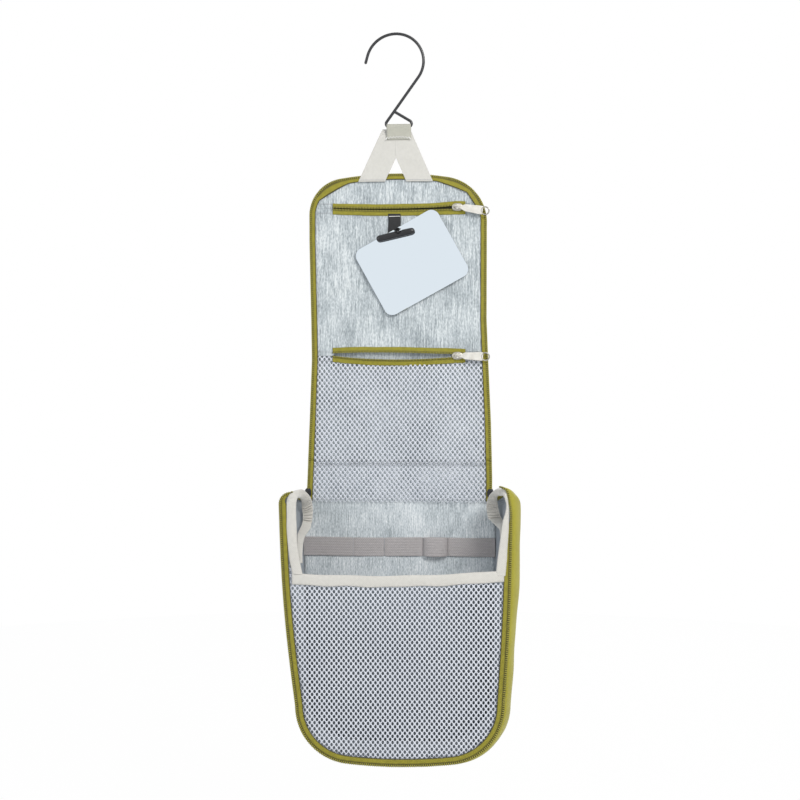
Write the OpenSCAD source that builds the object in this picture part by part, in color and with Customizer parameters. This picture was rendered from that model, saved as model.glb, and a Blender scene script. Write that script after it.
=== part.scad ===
// Hanging toiletry bag, opened out and hung from its wire hook.
// Millimetres. +X is to the right, +Z is up, and the bag faces -Y.
// The origin is the point of the hook that bears on a rail.

/* [Hook] */
// Diameter of the hook wire
wire_d = 2.6; // [1.8:0.1:3.4]
// Radius of the wire's centre line round the main arc
hook_arc_r = 24.4; // [18:0.2:30]
// Length of the straight shank from the arc to the foot of the hook
shank_length = 48.5; // [42:0.5:60]
// Lean of the shank from the vertical
shank_angle = 35.5; // [30:0.5:42]
// Length of the straight bar at the foot, between its two bends
bar_length = 17; // [15.6:0.2:24]

/* [Hanging strap] */
// Width of the strap webbing
strap_w = 21.6; // [16:0.2:24]
// Thickness of the strap webbing
strap_t = 1; // [0.6:0.1:1.6]
// Height from the lid's edge to the bar that the strap loops over
strap_rise = 41; // [36:0.5:70]
// Depth of the sewn loop below the bar
loop_drop = 11.5; // [8:0.5:16]
// Distance from the bag's centre to the middle of the left leg's foot
leg_left_x = 20.3; // [16:0.1:32]
// Distance from the bag's centre to the middle of the right leg's foot
leg_right_x = 14.8; // [13:0.1:30]
// Length of each leg that is sewn down on the lid
anchor_length = 7.5; // [5:0.5:14]

/* [Lid] */
// Full width of the lid at its free end
lid_w = 158; // [140:1:162]
// How much wider the lid is where it joins the bag
lid_flare = 7; // [0:0.5:9]
// Length of the part of the lid that covers the top of the closed bag
top_length = 70; // [66:1:80]
// Length of the part of the lid that covers the front of the closed bag
cover_length = 220; // [210:1:240]
// Radius of the lid's left outer corner
lid_left_corner_r = 33; // [20:1:44]
// Radius of the lid's right outer corner, which the bag's hanging has slackened
lid_right_corner_r = 41; // [20:1:44]

/* [Bag] */
// Full width of the front at the top
front_w = 198; // [184:1:210]
// Full width of the front above the bottom corners
front_low_w = 177.6; // [160:0.2:186]
// Full width of the back panel at the top
back_w = 176; // [174:0.5:190]
// Full width of the back panel above the bottom corners
back_low_w = 166; // [156:1:176]
// Depth from the lid's inner face to the front zip
bag_depth = 58; // [50:1:58]
// Height from the fold to the bottom of the front
bag_height = 220; // [200:0.5:230]
// Height that the front corners stand above the fold
ear_height = 10.5; // [4:0.5:10.5]
// Radius of the front corners at the top
ear_r = 10; // [8:0.5:12]
// Radius of the front's bottom left corner
left_corner_r = 49; // [30:1:54]
// Radius of the front's bottom right corner
right_corner_r = 50; // [30:1:54]
// Radius of the back panel's bottom corners
back_corner_r = 42; // [30:1:50]
// How far the front's foot leans to the right
front_lean = 3.8; // [0:0.2:6]
// How far the front's left side bows out between its ends
left_bow = 2.8; // [0:0.1:4]
// How far the front's right side bows out between its ends
right_bow = 1.9; // [0:0.1:4]
// How far the left wall bellies out between front and back, at its top
left_belly = 2; // [0:0.5:14]
// How far the right wall bellies out between front and back, at its top
right_belly = 12.5; // [0:0.5:14]
// How far the left wall bellies out between front and back, at its foot
left_low_belly = 2; // [0:0.5:10]
// How far the right wall bellies out between front and back, at its foot
right_low_belly = 8.7; // [0:0.1:10]
// How far the bottom wall bellies down between front and back
bottom_belly = 3.5; // [0:0.5:8]

/* [Cloth] */
// Thickness of the outer cloth
shell_t = 1; // [0.6:0.1:1.6]
// Thickness of the side walls
wall_t = 1.2; // [0.8:0.1:1.6]
// Thickness of the lining
lining_t = 0.8; // [0.4:0.1:1.2]
// Thickness of the pocket panels and of the mesh
panel_t = 0.6; // [0.4:0.1:1]
// Room behind a flat pocket panel
pocket_gap = 2; // [1.8:0.1:3]
// Width of the binding on the mesh front
binding_w = 9; // [6:0.5:10]

/* [Zips] */
// Width of the toothed edge of the main zip
coil_w = 2.2; // [1.6:0.1:3]
// Width of the main zip's tape that shows beside the teeth
tape_w = 3.6; // [3:0.1:5]
// Length of the two pocket zips
pocket_zip_length = 118; // [90:1:126]
// Height of the two tapes of a pocket zip together
pocket_zip_h = 11; // [9:0.5:16]
// Space between the two rows of teeth of an open pocket zip
pocket_zip_gap = 2; // [1.6:0.1:3]
// Height from the lid's free edge to the upper pocket zip
upper_zip_drop = 30.5; // [26:0.5:34]
// Height from the lid's free edge to the mesh pocket zip
lower_zip_drop = 162; // [150:0.5:175]
// Length of a pocket zip's pull
pull_length = 22; // [14:0.5:24]
// Length of a main zip's pull
main_pull_length = 24; // [14:0.5:30]

/* [Mirror] */
// Width of the mirror
mirror_w = 83; // [64:1:84]
// Height of the mirror
mirror_h = 66.5; // [54:0.5:70]
// Thickness of the mirror
mirror_t = 1.6; // [1:0.1:2]
// Tilt of the mirror on its toggle
mirror_tilt = 29; // [0:0.5:31]
// Length of the toggle bar
toggle_length = 33; // [20:1:40]
// Diameter of the toggle bar
toggle_d = 5; // [4:0.1:5.2]

/* [Elastic] */
// Height of the elastic strip
elastic_h = 16.5; // [10:0.5:25]
// Inside width of the toothbrush loop
brush_loop_w = 18; // [12:0.5:24]
// Inside depth of the toothbrush loop
brush_loop_depth = 5; // [4.5:0.1:7]

/* [Hidden] */

$fn = 48;
olive = "olivedrab";
cloth_grey = "lightsteelblue";
webbing_grey = "silver";
binding_grey = "lightgray";
metal_black = "dimgray";
pull_cream = "ivory";

// The hook, from the bearing point down.
hook_top_z = wire_d / 2;
foot_bend_r = 2.8;
closing_angle = 59;
tip_arc_extra_r = 1.9;
tip_arc_angle = 75;
tip_length = 6;
weld_depth = 0.2;
run_extra_d = 0.04;
run_lap = 0.6;
arc_gap_angle = 0.4;
arc_z = hook_top_z - hook_arc_r;
shank_dir = [-sin(shank_angle), -cos(shank_angle)];
shank_top = [hook_arc_r * cos(shank_angle), arc_z - hook_arc_r * sin(shank_angle)];
shank_foot = shank_top + shank_length * shank_dir;
left_bend = shank_foot + foot_bend_r * [cos(shank_angle), -sin(shank_angle)];
right_bend = left_bend + [bar_length, 0];
bar_z = left_bend[1] - foot_bend_r;

// The bag hangs centrally below the bar.
bag_x = left_bend[0] + bar_length / 2;
lid_root_w = lid_w + lid_flare;
lid_end_z = bar_z - strap_rise;
cover_fold_z = lid_end_z - cover_length;
bag_fold_z = cover_fold_z - top_length;
bag_bottom_z = bag_fold_z - bag_height;
fold_gap = 0.4;

// The strap loops over the bar with this much room round it.
bar_room = 0.3;
leg_top_drop = 4;
loop_meet = 5;
loop_end_gap = 0.3;
loop_w = min(strap_w, bar_length - 2 * loop_end_gap);
leg_apex_x = 2.25;
leg_apex_spread = 0.45;
strap_fold_rise = 1;
bartack_h = 3;
bartack_t = 0.3;

// The layers of the lid and the back panel, from the strap's plane backwards.
tape_t = 0.6;
teeth_t = 1.6;
tape_y = strap_t / 2;
panel_y = tape_y + tape_t;
pocket_y = panel_y + panel_t;
lining_y = pocket_y + pocket_gap;
shell_y = lining_y + lining_t;
back_y = shell_y + shell_t;
fold_y = tape_y - fold_gap / 2;
border = coil_w + tape_w;
lid_crown_angle = 9;

// Front of the bag: teeth, tape, then the edge of the side walls.
front_y = fold_y - bag_depth;
front_tape_t = 1.2;
front_tape_y = front_y + teeth_t;
wall_front_y = front_tape_y + front_tape_t;
ear_z = bag_fold_z + ear_height;
hinge_r = 2.2;
bottom_crown_angle = 6;
bottom_rise = 5;
ear_tape_share = 0.3;
skin_gap = 0.1;
inner_skin_t = 0.6;
inner_skin_gap = 0.35;
wall_rows = 10;
side_n = 6;
corner_n = 9;
ear_n = 6;
end_n = 6;
ear_points = ear_n + side_n;

// Front opening: mesh, its binding and the gathered corners.
mesh_drop = 61;
mesh_top_z = bag_fold_z - mesh_drop;
mesh_sag = 4;
mesh_inset = 3;
arch_inset = 22;
arch_x = front_w / 2 - arch_inset;
gather_t = 1.6;
gather_slope = 0.19;
gather_back_y = -13.5;
gather_r = 5;
gather_drop = 19;
gather_sink = 2.6;

// Elastic strip and toothbrush loop.
elastic_drop = 41.5;
elastic_z = bag_fold_z - elastic_drop;
elastic_t = 1;
elastic_half = 82;
brush_loop_x = 32.7;

// Pocket zips.
upper_zip_z = lid_end_z - upper_zip_drop;
lower_zip_z = lid_end_z - lower_zip_drop;
teeth_r = 0.75;
teeth_y = panel_y + panel_t / 2;
teeth_z = pocket_zip_gap / 2 + teeth_r;
slider_room = 0.3;
slider_w = 10;
slider_h = 6.8;
slider_plate_t = 1.1;
slider_back_t = 0.7;
slider_x = pocket_zip_length / 2 - slider_w / 2 - 2;
post_room = 0.4;
pin_d = 1.2;
pin_room = 0.2;
pin_y = -3;
pull_t = 1;
pull_w = 7.5;
pull_eye_d = 3;
pull_eye_w = 2.6;
pull_neck_w = 1.8;
lug_t = 0.8;
upper_pull_droop = 22;
lower_pull_droop = 2;

// Mirror, its notch and its toggle.
mirror_y = -2.1;
mirror_corner_r = 7.5;
neck_x = -1.2;
neck_drop = 52.4;
neck_z = lid_end_z - neck_drop;
neck_d = 2.8;
notch_room = 0.3;
notch_x = 1.9;
notch_depth = 5;
toggle_tilt = 13;
toggle_shift = [-1.7, -2.7];
toggle_y = mirror_y - notch_room - toggle_d / 2;
webbing_w = 11;
webbing_x = -3.9;
webbing_t = 1;
webbing_length = 18.8;

// Sliders of the main zip, parked at the fold.
main_slider_z = bag_fold_z + 6.5;
main_slider_h = 9;
main_slider_w = 6.2;
main_plate_t = 0.9;
main_clip_t = 1.4;
main_pin_y = back_y + 3;
main_pull_w = 6.5;

// ---------- outlines ----------

function mix(a, b, t) = a + (b - a) * t;
function cross2(a, b) = a[0] * b[1] - a[1] * b[0];
function reversed(list) = [for (i = [len(list) - 1 : -1 : 0]) list[i]];
function flipped(points) = [for (p = points) [-p[0], p[1]]];
function unit(v) = v / norm(v);

// Half of a crowned end with a round corner: from the corner's start on the
// side to the middle of the end. way is 1 for an end at the top, -1 below.
function crowned_corner(half, end_z, r, way, crown_angle, d) =
  let (
    rr = r - d,
    x1 = half - d - rr + rr * sin(crown_angle),
    rise = x1 * tan(crown_angle) / 2,
    cz = end_z - way * (d + rise + rr * cos(crown_angle))
  )
  concat(
    [for (i = [0 : corner_n]) let (a = i / corner_n * (90 - crown_angle))
      [half - d - rr + rr * cos(a), cz + way * rr * sin(a)]],
    [for (i = [1 : end_n]) let (x = x1 * (1 - i / end_n))
      [x, end_z - way * (d + rise * pow(x / x1, 2))]]
  );

// The lid's cover part, from the fold up the right side, round the free end
// and down the left side.
function cover_side(corner_r, d) = concat(
  [[lid_w / 2 - d, cover_fold_z + fold_gap / 2]],
  crowned_corner(lid_w / 2, lid_end_z, corner_r, 1, lid_crown_angle, d)
);
function cover_outline(d = 0) =
  let (right = cover_side(lid_right_corner_r, d), left = cover_side(lid_left_corner_r, d))
  concat(right, flipped(reversed([for (i = [0 : len(left) - 2]) left[i]])));

// Half the lid's width between its two folds.
function lid_half(z) = mix(lid_root_w / 2, lid_w / 2, (z - bag_fold_z) / top_length);
top_low_z = bag_fold_z + fold_gap / 2;
top_high_z = cover_fold_z - fold_gap / 2;

// The bag's outline on one side at depth v, from 0 at the front to 1 at the
// back: the rolled-in top edge, the side, the bottom corner and half the bottom.
// side is -1 on the left and 1 on the right.
function bag_side(v, d, side, tape_share = 1) =
  let (
    swell = sin(180 * pow(v, 0.8)),
    belly = side < 0 ? left_belly : right_belly,
    low_belly = side < 0 ? left_low_belly : right_low_belly,
    bow = (1 - v) * (side < 0 ? left_bow : right_bow),
    corner_r = mix(side < 0 ? left_corner_r : right_corner_r, back_corner_r, v),
    top_half = mix(front_w, back_w, v) / 2 + belly * swell,
    low_half = mix(front_low_w, back_low_w, v) / 2 + side * front_lean * (1 - v) + low_belly * swell,
    top_z = mix(ear_z, bag_fold_z - fold_gap / 2, v),
    low_z = bag_bottom_z + bottom_rise * v - bottom_belly * swell,
    r = mix(ear_r, hinge_r, v),
    low = crowned_corner(low_half, low_z, corner_r, -1, bottom_crown_angle, d)
  )
  concat(
    [for (i = [0 : ear_n - 1]) let (
        a = 90 * (1 - i / ear_n),
        rr = r - d * mix(tape_share, 1, i / ear_n)
      ) [top_half - r + rr * cos(a), top_z - r + rr * sin(a)]],
    [for (i = [0 : side_n - 1])
      [mix(top_half - d, low[0][0], i / side_n) + bow * sin(180 * i / side_n),
        mix(top_z - r, low[0][1], i / side_n)]],
    low
  );

// The whole outline, from the left top edge round the bottom to the right one.
function bag_outline(v, d = 0, tape_share = 1) =
  let (
    left = bag_side(v, d, -1, tape_share),
    right = bag_side(v, d, 1, tape_share)
  )
  concat(flipped(left), reversed([for (i = [0 : len(right) - 2]) right[i]]));
outline_n = len(bag_outline(0));

// The band between two outlines of equal length that are open at one end.
function band(outer, inner) = concat(outer, reversed(inner));

// A line of points given a thickness t, half on each side.
function thick_line(path, t) =
  let (
    n = len(path),
    dirs = [for (i = [0 : n - 1]) unit(path[min(i + 1, n - 1)] - path[max(i - 1, 0)])],
    sides = [for (i = [0 : n - 1]) t / 2 * [-dirs[i][1], dirs[i][0]]]
  )
  band([for (i = [0 : n - 1]) path[i] + sides[i]], [for (i = [0 : n - 1]) path[i] - sides[i]]);

// ---------- general solids ----------

// A flat layer in X and Z, from y to y + t.
module layer(y, t) {
  translate([0, y + t, 0]) rotate([90, 0, 0]) linear_extrude(height = t) children();
}

// A rectangle in X and Z between two corners.
module area(low, high) {
  translate(low) square(high - low);
}

// A profile in Y and Z, drawn out along X.
module along_x(x, length) {
  translate([x, 0, 0]) rotate([90, 0, 90]) linear_extrude(height = length) children();
}

module centred() {
  translate([bag_x, 0, 0]) children();
}

// A closed sheet between two grids of points with the same rows and columns.
module sheet_between(outside, inside) {
  rows = len(outside);
  cols = len(outside[0]);
  n = rows * cols;
  points = concat([for (r = outside) for (p = r) p], [for (r = inside) for (p = r) p]);
  function at(r, c) = r * cols + c;
  function quad(a, b, c, d) = [[a, b, c], [a, c, d]];
  faces = concat(
    [for (r = [0 : rows - 2]) for (c = [0 : cols - 2])
      for (f = quad(at(r, c), at(r, c + 1), at(r + 1, c + 1), at(r + 1, c))) f],
    [for (r = [0 : rows - 2]) for (c = [0 : cols - 2])
      for (f = quad(n + at(r, c), n + at(r + 1, c), n + at(r + 1, c + 1), n + at(r, c + 1))) f],
    [for (c = [0 : cols - 2])
      for (f = quad(at(0, c), n + at(0, c), n + at(0, c + 1), at(0, c + 1))) f],
    [for (c = [0 : cols - 2]) let (r = rows - 1)
      for (f = quad(at(r, c), at(r, c + 1), n + at(r, c + 1), n + at(r, c))) f],
    [for (r = [0 : rows - 2])
      for (f = quad(at(r, 0), at(r + 1, 0), n + at(r + 1, 0), n + at(r, 0))) f],
    [for (r = [0 : rows - 2]) let (c = cols - 1)
      for (f = quad(at(r, c), n + at(r, c), n + at(r + 1, c), at(r + 1, c))) f]
  );
  polyhedron(points = points, faces = faces);
}

// ---------- hook ----------

module wire_arc(centre, r, from, to) {
  translate([centre[0], 0, centre[1]]) rotate([90, 0, 0]) rotate([0, 0, from])
    rotate_extrude(angle = to - from) translate([r, 0]) circle(d = wire_d);
}

// A straight run, a hair thicker than the bends. It laps over the bend before
// it by lap, and meets the one after it end to end.
module wire_straight(a, b, lap) {
  run = b - a;
  at = a - lap * unit(run);
  translate([at[0], 0, at[1]]) rotate([0, atan2(run[0], run[1]), 0])
    cylinder(d = wire_d + run_extra_d, h = norm(run) + lap);
}

module hook_wire() color(metal_black) {
  tip_r = hook_arc_r + tip_arc_extra_r;
  tip_centre = [0, hook_top_z - tip_r];
  tip_start = tip_centre + tip_r * [-sin(tip_arc_angle), cos(tip_arc_angle)];
  tip_end = tip_start - tip_length * [cos(tip_arc_angle), sin(tip_arc_angle)];
  arm_dir = [-sin(closing_angle), cos(closing_angle)];
  arm_start = right_bend + foot_bend_r * [cos(closing_angle), sin(closing_angle)];
  to_shank = cross2(shank_foot - arm_start, shank_dir) / cross2(arm_dir, shank_dir);
  arm_end = arm_start + (to_shank - wire_d / 2 + weld_depth) * arm_dir;
  wire_arc([0, arc_z], hook_arc_r, -shank_angle, 90);
  wire_straight([run_lap, hook_top_z], [-run_lap, hook_top_z], 0);
  wire_arc(tip_centre, tip_r, 90 + arc_gap_angle, 90 + tip_arc_angle);
  wire_straight(tip_start, tip_end, run_lap);
  wire_straight(shank_top, shank_foot, run_lap);
  wire_arc(left_bend, foot_bend_r, 180 - shank_angle, 270);
  wire_straight(left_bend - [0, foot_bend_r], right_bend - [0, foot_bend_r], 0);
  wire_arc(right_bend, foot_bend_r, -90, closing_angle);
  wire_straight(arm_start, arm_end, 0);
}

// ---------- strap ----------

// The loop's profile: round over the bar, then straight down to the sewn foot.
function loop_profile(r, foot, drop) = concat(
  [for (i = [0 : 14]) let (a = mix(-15, 195, i / 14)) r * [cos(a), sin(a)]],
  [[-foot, -loop_meet], [-foot, -drop], [foot, -drop], [foot, -loop_meet]]
);

// The loop is cut narrower than the webbing, to lie between the bar's two bends.
module strap_loop() color(webbing_grey) {
  r = wire_d / 2 + bar_room;
  ply_gap = strap_t / 2;
  translate([0, 0, bar_z]) difference() {
    along_x(bag_x - loop_w / 2, loop_w)
      polygon(loop_profile(r + strap_t, ply_gap + strap_t, loop_drop));
    along_x(bag_x - strap_w, 2 * strap_w)
      polygon(loop_profile(r - bar_room / 2, ply_gap, loop_drop + 1));
    translate([bag_x - strap_w, 0, 0]) rotate([0, 90, 0]) cylinder(r = r, h = 2 * strap_w);
  }
}

module strap_bartack() color("white") {
  front = strap_t * 1.5;
  translate([bag_x - loop_w / 2, -front - bartack_t, bar_z - loop_drop])
    cube([loop_w, bartack_t, bartack_h]);
}

leg_top_z = bar_z - leg_top_drop;
leg_foot_z = lid_end_z + strap_fold_rise;
leg_height = leg_top_z - leg_foot_z;

// A leg's middle line at height z. side is -1 on the left and 1 on the right.
function leg_foot_x(side) = side < 0 ? -leg_left_x : leg_right_x;
function leg_apex(side) = -leg_apex_x + side * leg_apex_spread;
function leg_mid(side, z) = mix(leg_foot_x(side), leg_apex(side), (z - leg_foot_z) / leg_height);
function leg_half(side) =
  strap_w / 2 / cos(atan((leg_foot_x(side) - leg_apex(side)) / leg_height));
function leg_inner(side, z) = leg_mid(side, z) - side * leg_half(side);

// The two legs cross where their inner edges meet, and each stops there.
leg_gap_top = leg_inner(-1, leg_top_z) - leg_inner(1, leg_top_z);
leg_gap_foot = leg_inner(1, leg_foot_z) - leg_inner(-1, leg_foot_z);
leg_cross_z = mix(leg_top_z, leg_foot_z, leg_gap_top / (leg_gap_top + leg_gap_foot));
leg_cross_x = leg_inner(-1, leg_cross_z);

module leg_strip(side, low, high) {
  outer = [for (z = [low, high]) [leg_mid(side, z) + side * leg_half(side), z]];
  inner = [for (z = [high, low]) [leg_inner(side, z), z]];
  polygon(concat(outer, inner));
}

// The strap's space above or below its fold, with an edge that tapers to the
// fold so that the two sides can turn square to each other.
module strap_side_of_fold(way) {
  half_t = strap_t / 2;
  edge = fold_gap / 2;
  translate([0, 0, leg_foot_z]) along_x(-front_w, 2 * front_w) polygon([
    [0, way * edge], [half_t, way * (edge + half_t)], [half_t, way * 2 * leg_height],
    [-half_t, way * 2 * leg_height], [-half_t, way * (edge + half_t)]
  ]);
}

module strap_leg(side) color(webbing_grey) centred() intersection() {
  layer(-strap_t / 2, strap_t) intersection() {
    leg_strip(side, leg_foot_z, leg_top_z);
    if (side < 0) area([-front_w, bag_fold_z], [leg_cross_x, 0]);
    else area([leg_cross_x, bag_fold_z], [front_w, 0]);
  }
  strap_side_of_fold(1);
}

module strap_anchor(side) color(webbing_grey) centred() intersection() {
  layer(-strap_t / 2, strap_t) leg_strip(side, lid_end_z - anchor_length, leg_foot_z);
  strap_side_of_fold(-1);
}

module strap_left_leg() strap_leg(-1);
module strap_right_leg() strap_leg(1);
module strap_left_anchor() strap_anchor(-1);
module strap_right_anchor() strap_anchor(1);

// ---------- lid, cover part ----------

module lid_cover_shell() color(olive) centred() difference() {
  layer(tape_y + teeth_t, back_y - tape_y - teeth_t) polygon(cover_outline());
  layer(tape_y, shell_y - tape_y) union() {
    polygon(cover_outline(coil_w));
    area([coil_w - lid_w / 2, cover_fold_z - 1], [lid_w / 2 - coil_w, cover_fold_z + 1]);
  }
}

module lid_cover_lining() color(cloth_grey) centred()
  layer(lining_y, lining_t) polygon(cover_outline(coil_w));

module lid_cover_zip_tape() color(olive) centred()
  layer(tape_y, tape_t) polygon(band(cover_outline(coil_w), cover_outline(border)));

module lid_cover_zip_teeth() color(olive) centred()
  layer(tape_y, teeth_t) polygon(band(cover_outline(), cover_outline(coil_w)));

// The part of the lid's inner face between two heights, round two zips.
module pocket_face(low, high, zip_above, zip_below) {
  half_zip = pocket_zip_length / 2;
  half_h = pocket_zip_h / 2;
  layer(panel_y, panel_t) difference() {
    intersection() {
      polygon(cover_outline(coil_w));
      area([-lid_w, low], [lid_w, high]);
    }
    area([-half_zip, zip_above - half_h], [half_zip, zip_above + half_h]);
    area([-half_zip, zip_below - half_h], [half_zip, zip_below + half_h]);
  }
}

module lid_crown_panel() color(cloth_grey) centred()
  pocket_face(upper_zip_z, lid_end_z, upper_zip_z, lower_zip_z);

module upper_pocket_panel() color(cloth_grey) centred()
  pocket_face(lower_zip_z, upper_zip_z, upper_zip_z, lower_zip_z);

module mesh_pocket_upper() color("gainsboro") centred()
  pocket_face(cover_fold_z + fold_gap / 2, lower_zip_z, upper_zip_z, lower_zip_z);

// ---------- pocket zips ----------

module pocket_zip_tapes(z) {
  height = pocket_zip_h / 2 - teeth_z - teeth_r;
  for (low = [teeth_z + teeth_r, -pocket_zip_h / 2])
    layer(panel_y, panel_t)
      area([-pocket_zip_length / 2, z + low], [pocket_zip_length / 2, z + low + height]);
}

module pocket_zip_teeth(z) {
  for (side = [-1, 1])
    translate([-pocket_zip_length / 2, teeth_y, z + side * teeth_z])
      rotate([0, 90, 0]) cylinder(r = teeth_r, h = pocket_zip_length);
}

// A slider: two plates joined by a post between the rows of teeth, with a pin
// in front for the pull.
module pocket_slider(z) {
  front_high = teeth_y - teeth_r - slider_room;
  back_low = teeth_y + teeth_r + slider_room;
  post_half = pocket_zip_gap / 2 - post_room;
  lug_z = pull_eye_w / 2 + pin_room;
  translate([slider_x, 0, z]) {
    layer(front_high - slider_plate_t, slider_plate_t) slider_face();
    layer(back_low, slider_back_t) slider_face();
    translate([0, front_high, -post_half])
      cube([slider_w / 3, back_low - front_high, 2 * post_half]);
    for (side = [-1, 1]) mirror([0, 0, side < 0 ? 1 : 0]) {
      translate([-pin_d, pin_y, lug_z])
        cube([2 * pin_d, front_high - slider_plate_t - pin_y, lug_t]);
      translate([0, pin_y, lug_z]) cylinder(d = 2 * pin_d, h = lug_t);
    }
    translate([0, pin_y, -lug_z - lug_t]) cylinder(d = pin_d, h = 2 * (lug_z + lug_t));
  }
}

module slider_face() {
  polygon([
    [-slider_w / 2, -slider_h / 3], [slider_w / 4, -slider_h / 2], [slider_w / 2, -slider_h / 2],
    [slider_w / 2, slider_h / 2], [slider_w / 4, slider_h / 2], [-slider_w / 2, slider_h / 3]
  ]);
}

// A pull that turns on the pin: an eye, then a plate with a hole at its end.
module pocket_pull(z, droop) {
  eye_r = pull_eye_d / 2;
  tip_x = pull_length - pull_w / 2;
  translate([slider_x, pin_y, z]) {
    difference() {
      union() {
        translate([0, 0, -pull_eye_w / 2]) cylinder(r = eye_r, h = pull_eye_w);
        rotate([0, droop, 0]) translate([0, -pull_t / 2, -pull_neck_w / 2])
          cube([pull_w / 2, pull_t, pull_neck_w]);
      }
      translate([0, 0, -pull_w]) cylinder(d = pin_d + 2 * pin_room, h = 2 * pull_w);
    }
    rotate([0, droop, 0]) layer(-pull_t / 2, pull_t) difference() {
      union() {
        area([eye_r + 1, -pull_w / 2 + 1], [tip_x, pull_w / 2 - 1]);
        translate([tip_x, 0]) circle(d = pull_w);
      }
      translate([tip_x, 0]) circle(d = pull_w / 2);
    }
  }
}

module upper_zip_tapes() color(cloth_grey) centred() pocket_zip_tapes(upper_zip_z);
module upper_zip_teeth() color(cloth_grey) centred() pocket_zip_teeth(upper_zip_z);
module upper_zip_slider() color(pull_cream) centred() pocket_slider(upper_zip_z);
module upper_zip_pull() color(pull_cream) centred() pocket_pull(upper_zip_z, upper_pull_droop);
module lower_zip_tapes() color(cloth_grey) centred() pocket_zip_tapes(lower_zip_z);
module lower_zip_teeth() color(cloth_grey) centred() pocket_zip_teeth(lower_zip_z);
module lower_zip_slider() color(pull_cream) centred() pocket_slider(lower_zip_z);
module lower_zip_pull() color(pull_cream) centred() pocket_pull(lower_zip_z, lower_pull_droop);

// ---------- mirror ----------

module mirror_webbing() color(metal_black) centred() {
  top = upper_zip_z - pocket_zip_h / 2;
  layer(panel_y - webbing_t, webbing_t)
    area([webbing_x - webbing_w / 2, top - webbing_length], [webbing_x + webbing_w / 2, top]);
}

module mirror_toggle() color(metal_black) centred() {
  bar_at = [neck_x + toggle_shift[0], neck_z + toggle_shift[1]];
  translate([neck_x, panel_y - webbing_t, neck_z]) rotate([90, 0, 0])
    cylinder(d = neck_d, h = panel_y - webbing_t - toggle_y);
  translate([bar_at[0], toggle_y, bar_at[1]]) rotate([0, 90 - toggle_tilt, 0]) {
    cylinder(d = toggle_d, h = toggle_length - toggle_d, center = true);
    for (way = [-1, 1]) translate([0, 0, way * (toggle_length - toggle_d) / 2])
      sphere(d = toggle_d);
  }
}

// The plate hangs by its notch, whose round end is centred on the toggle's neck.
module mirror_plate() color("azure") centred() {
  notch_d = neck_d + 2 * notch_room;
  neck_v = mirror_h / 2 - notch_depth + notch_d / 2;
  half = [mirror_w / 2 - mirror_corner_r, mirror_h / 2 - mirror_corner_r];
  translate([neck_x, 0, neck_z]) rotate([0, -mirror_tilt, 0]) translate([-notch_x, 0, -neck_v])
    layer(mirror_y, mirror_t) difference() {
      union() {
        square([mirror_w, 2 * half[1]], center = true);
        square([2 * half[0], mirror_h], center = true);
        for (x = [-1, 1]) for (y = [-1, 1])
          translate([x * half[0], y * half[1]]) circle(r = mirror_corner_r);
      }
      translate([notch_x, neck_v]) circle(d = notch_d);
      area([notch_x - notch_d / 2, neck_v], [notch_x + notch_d / 2, mirror_h]);
    }
}

// ---------- lid, top part ----------

// The top part's outline, inset by d at its sides.
module top_face(d) {
  polygon([
    [d - lid_half(top_low_z), top_low_z], [lid_half(top_low_z) - d, top_low_z],
    [lid_half(top_high_z) - d, top_high_z], [d - lid_half(top_high_z), top_high_z]
  ]);
}

// The two side strips of the top part between two insets.
module top_strips(outer, inner) {
  for (side = [-1, 1]) polygon([
    [side * (lid_half(top_low_z) - outer), top_low_z],
    [side * (lid_half(top_low_z) - inner), top_low_z],
    [side * (lid_half(top_high_z) - inner), top_high_z],
    [side * (lid_half(top_high_z) - outer), top_high_z]
  ]);
}

module lid_top_shell() color(olive) centred() union() {
  layer(shell_y, shell_t) top_face(0);
  layer(tape_y + teeth_t, shell_y - tape_y - teeth_t) top_strips(0, coil_w);
}

module lid_top_lining() color(cloth_grey) centred() layer(lining_y, lining_t) top_face(coil_w);
module lid_top_zip_tape() color(olive) centred()
  layer(tape_y, tape_t) top_strips(coil_w, border);
module lid_top_zip_teeth() color(olive) centred() layer(tape_y, teeth_t) top_strips(0, coil_w);
module mesh_pocket_lower() color("gainsboro") centred()
  layer(panel_y, panel_t) top_face(coil_w);

// ---------- main zip sliders ----------

// A slider clipped over the edge of the lid, with its pull on the outside.
module main_slider(side) {
  edge = lid_half(main_slider_z) + slider_room + 0.2;
  low = main_slider_z - main_slider_h / 2;
  plate_x = edge + main_clip_t - main_slider_w;
  lug_x = main_lug_x();
  front_low = tape_y - slider_room - main_plate_t;
  back_low = back_y + slider_room;
  mirror([side < 0 ? 1 : 0, 0, 0]) {
    layer(front_low, main_plate_t)
      area([plate_x, low], [edge + main_clip_t, low + main_slider_h]);
    layer(back_low, main_plate_t)
      area([plate_x, low], [edge + main_clip_t, low + main_slider_h]);
    layer(front_low, back_low + main_plate_t - front_low)
      area([edge, low], [edge + main_clip_t, low + main_slider_h]);
    for (x = [lug_x - pull_eye_w / 2 - pin_room - lug_t, lug_x + pull_eye_w / 2 + pin_room]) {
      translate([x, back_low + main_plate_t, main_slider_z - pin_d])
        cube([lug_t, main_pin_y - back_low - main_plate_t, 2 * pin_d]);
      translate([x, main_pin_y, main_slider_z]) rotate([0, 90, 0])
        cylinder(d = 2 * pin_d, h = lug_t);
    }
    translate([lug_x - main_slider_w / 2 + 0.7, main_pin_y, main_slider_z]) rotate([0, 90, 0])
      cylinder(d = pin_d, h = main_slider_w - 1.4);
  }
}

function main_lug_x() =
  lid_half(main_slider_z) + slider_room + 0.2 + main_clip_t - main_slider_w / 2;

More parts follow.
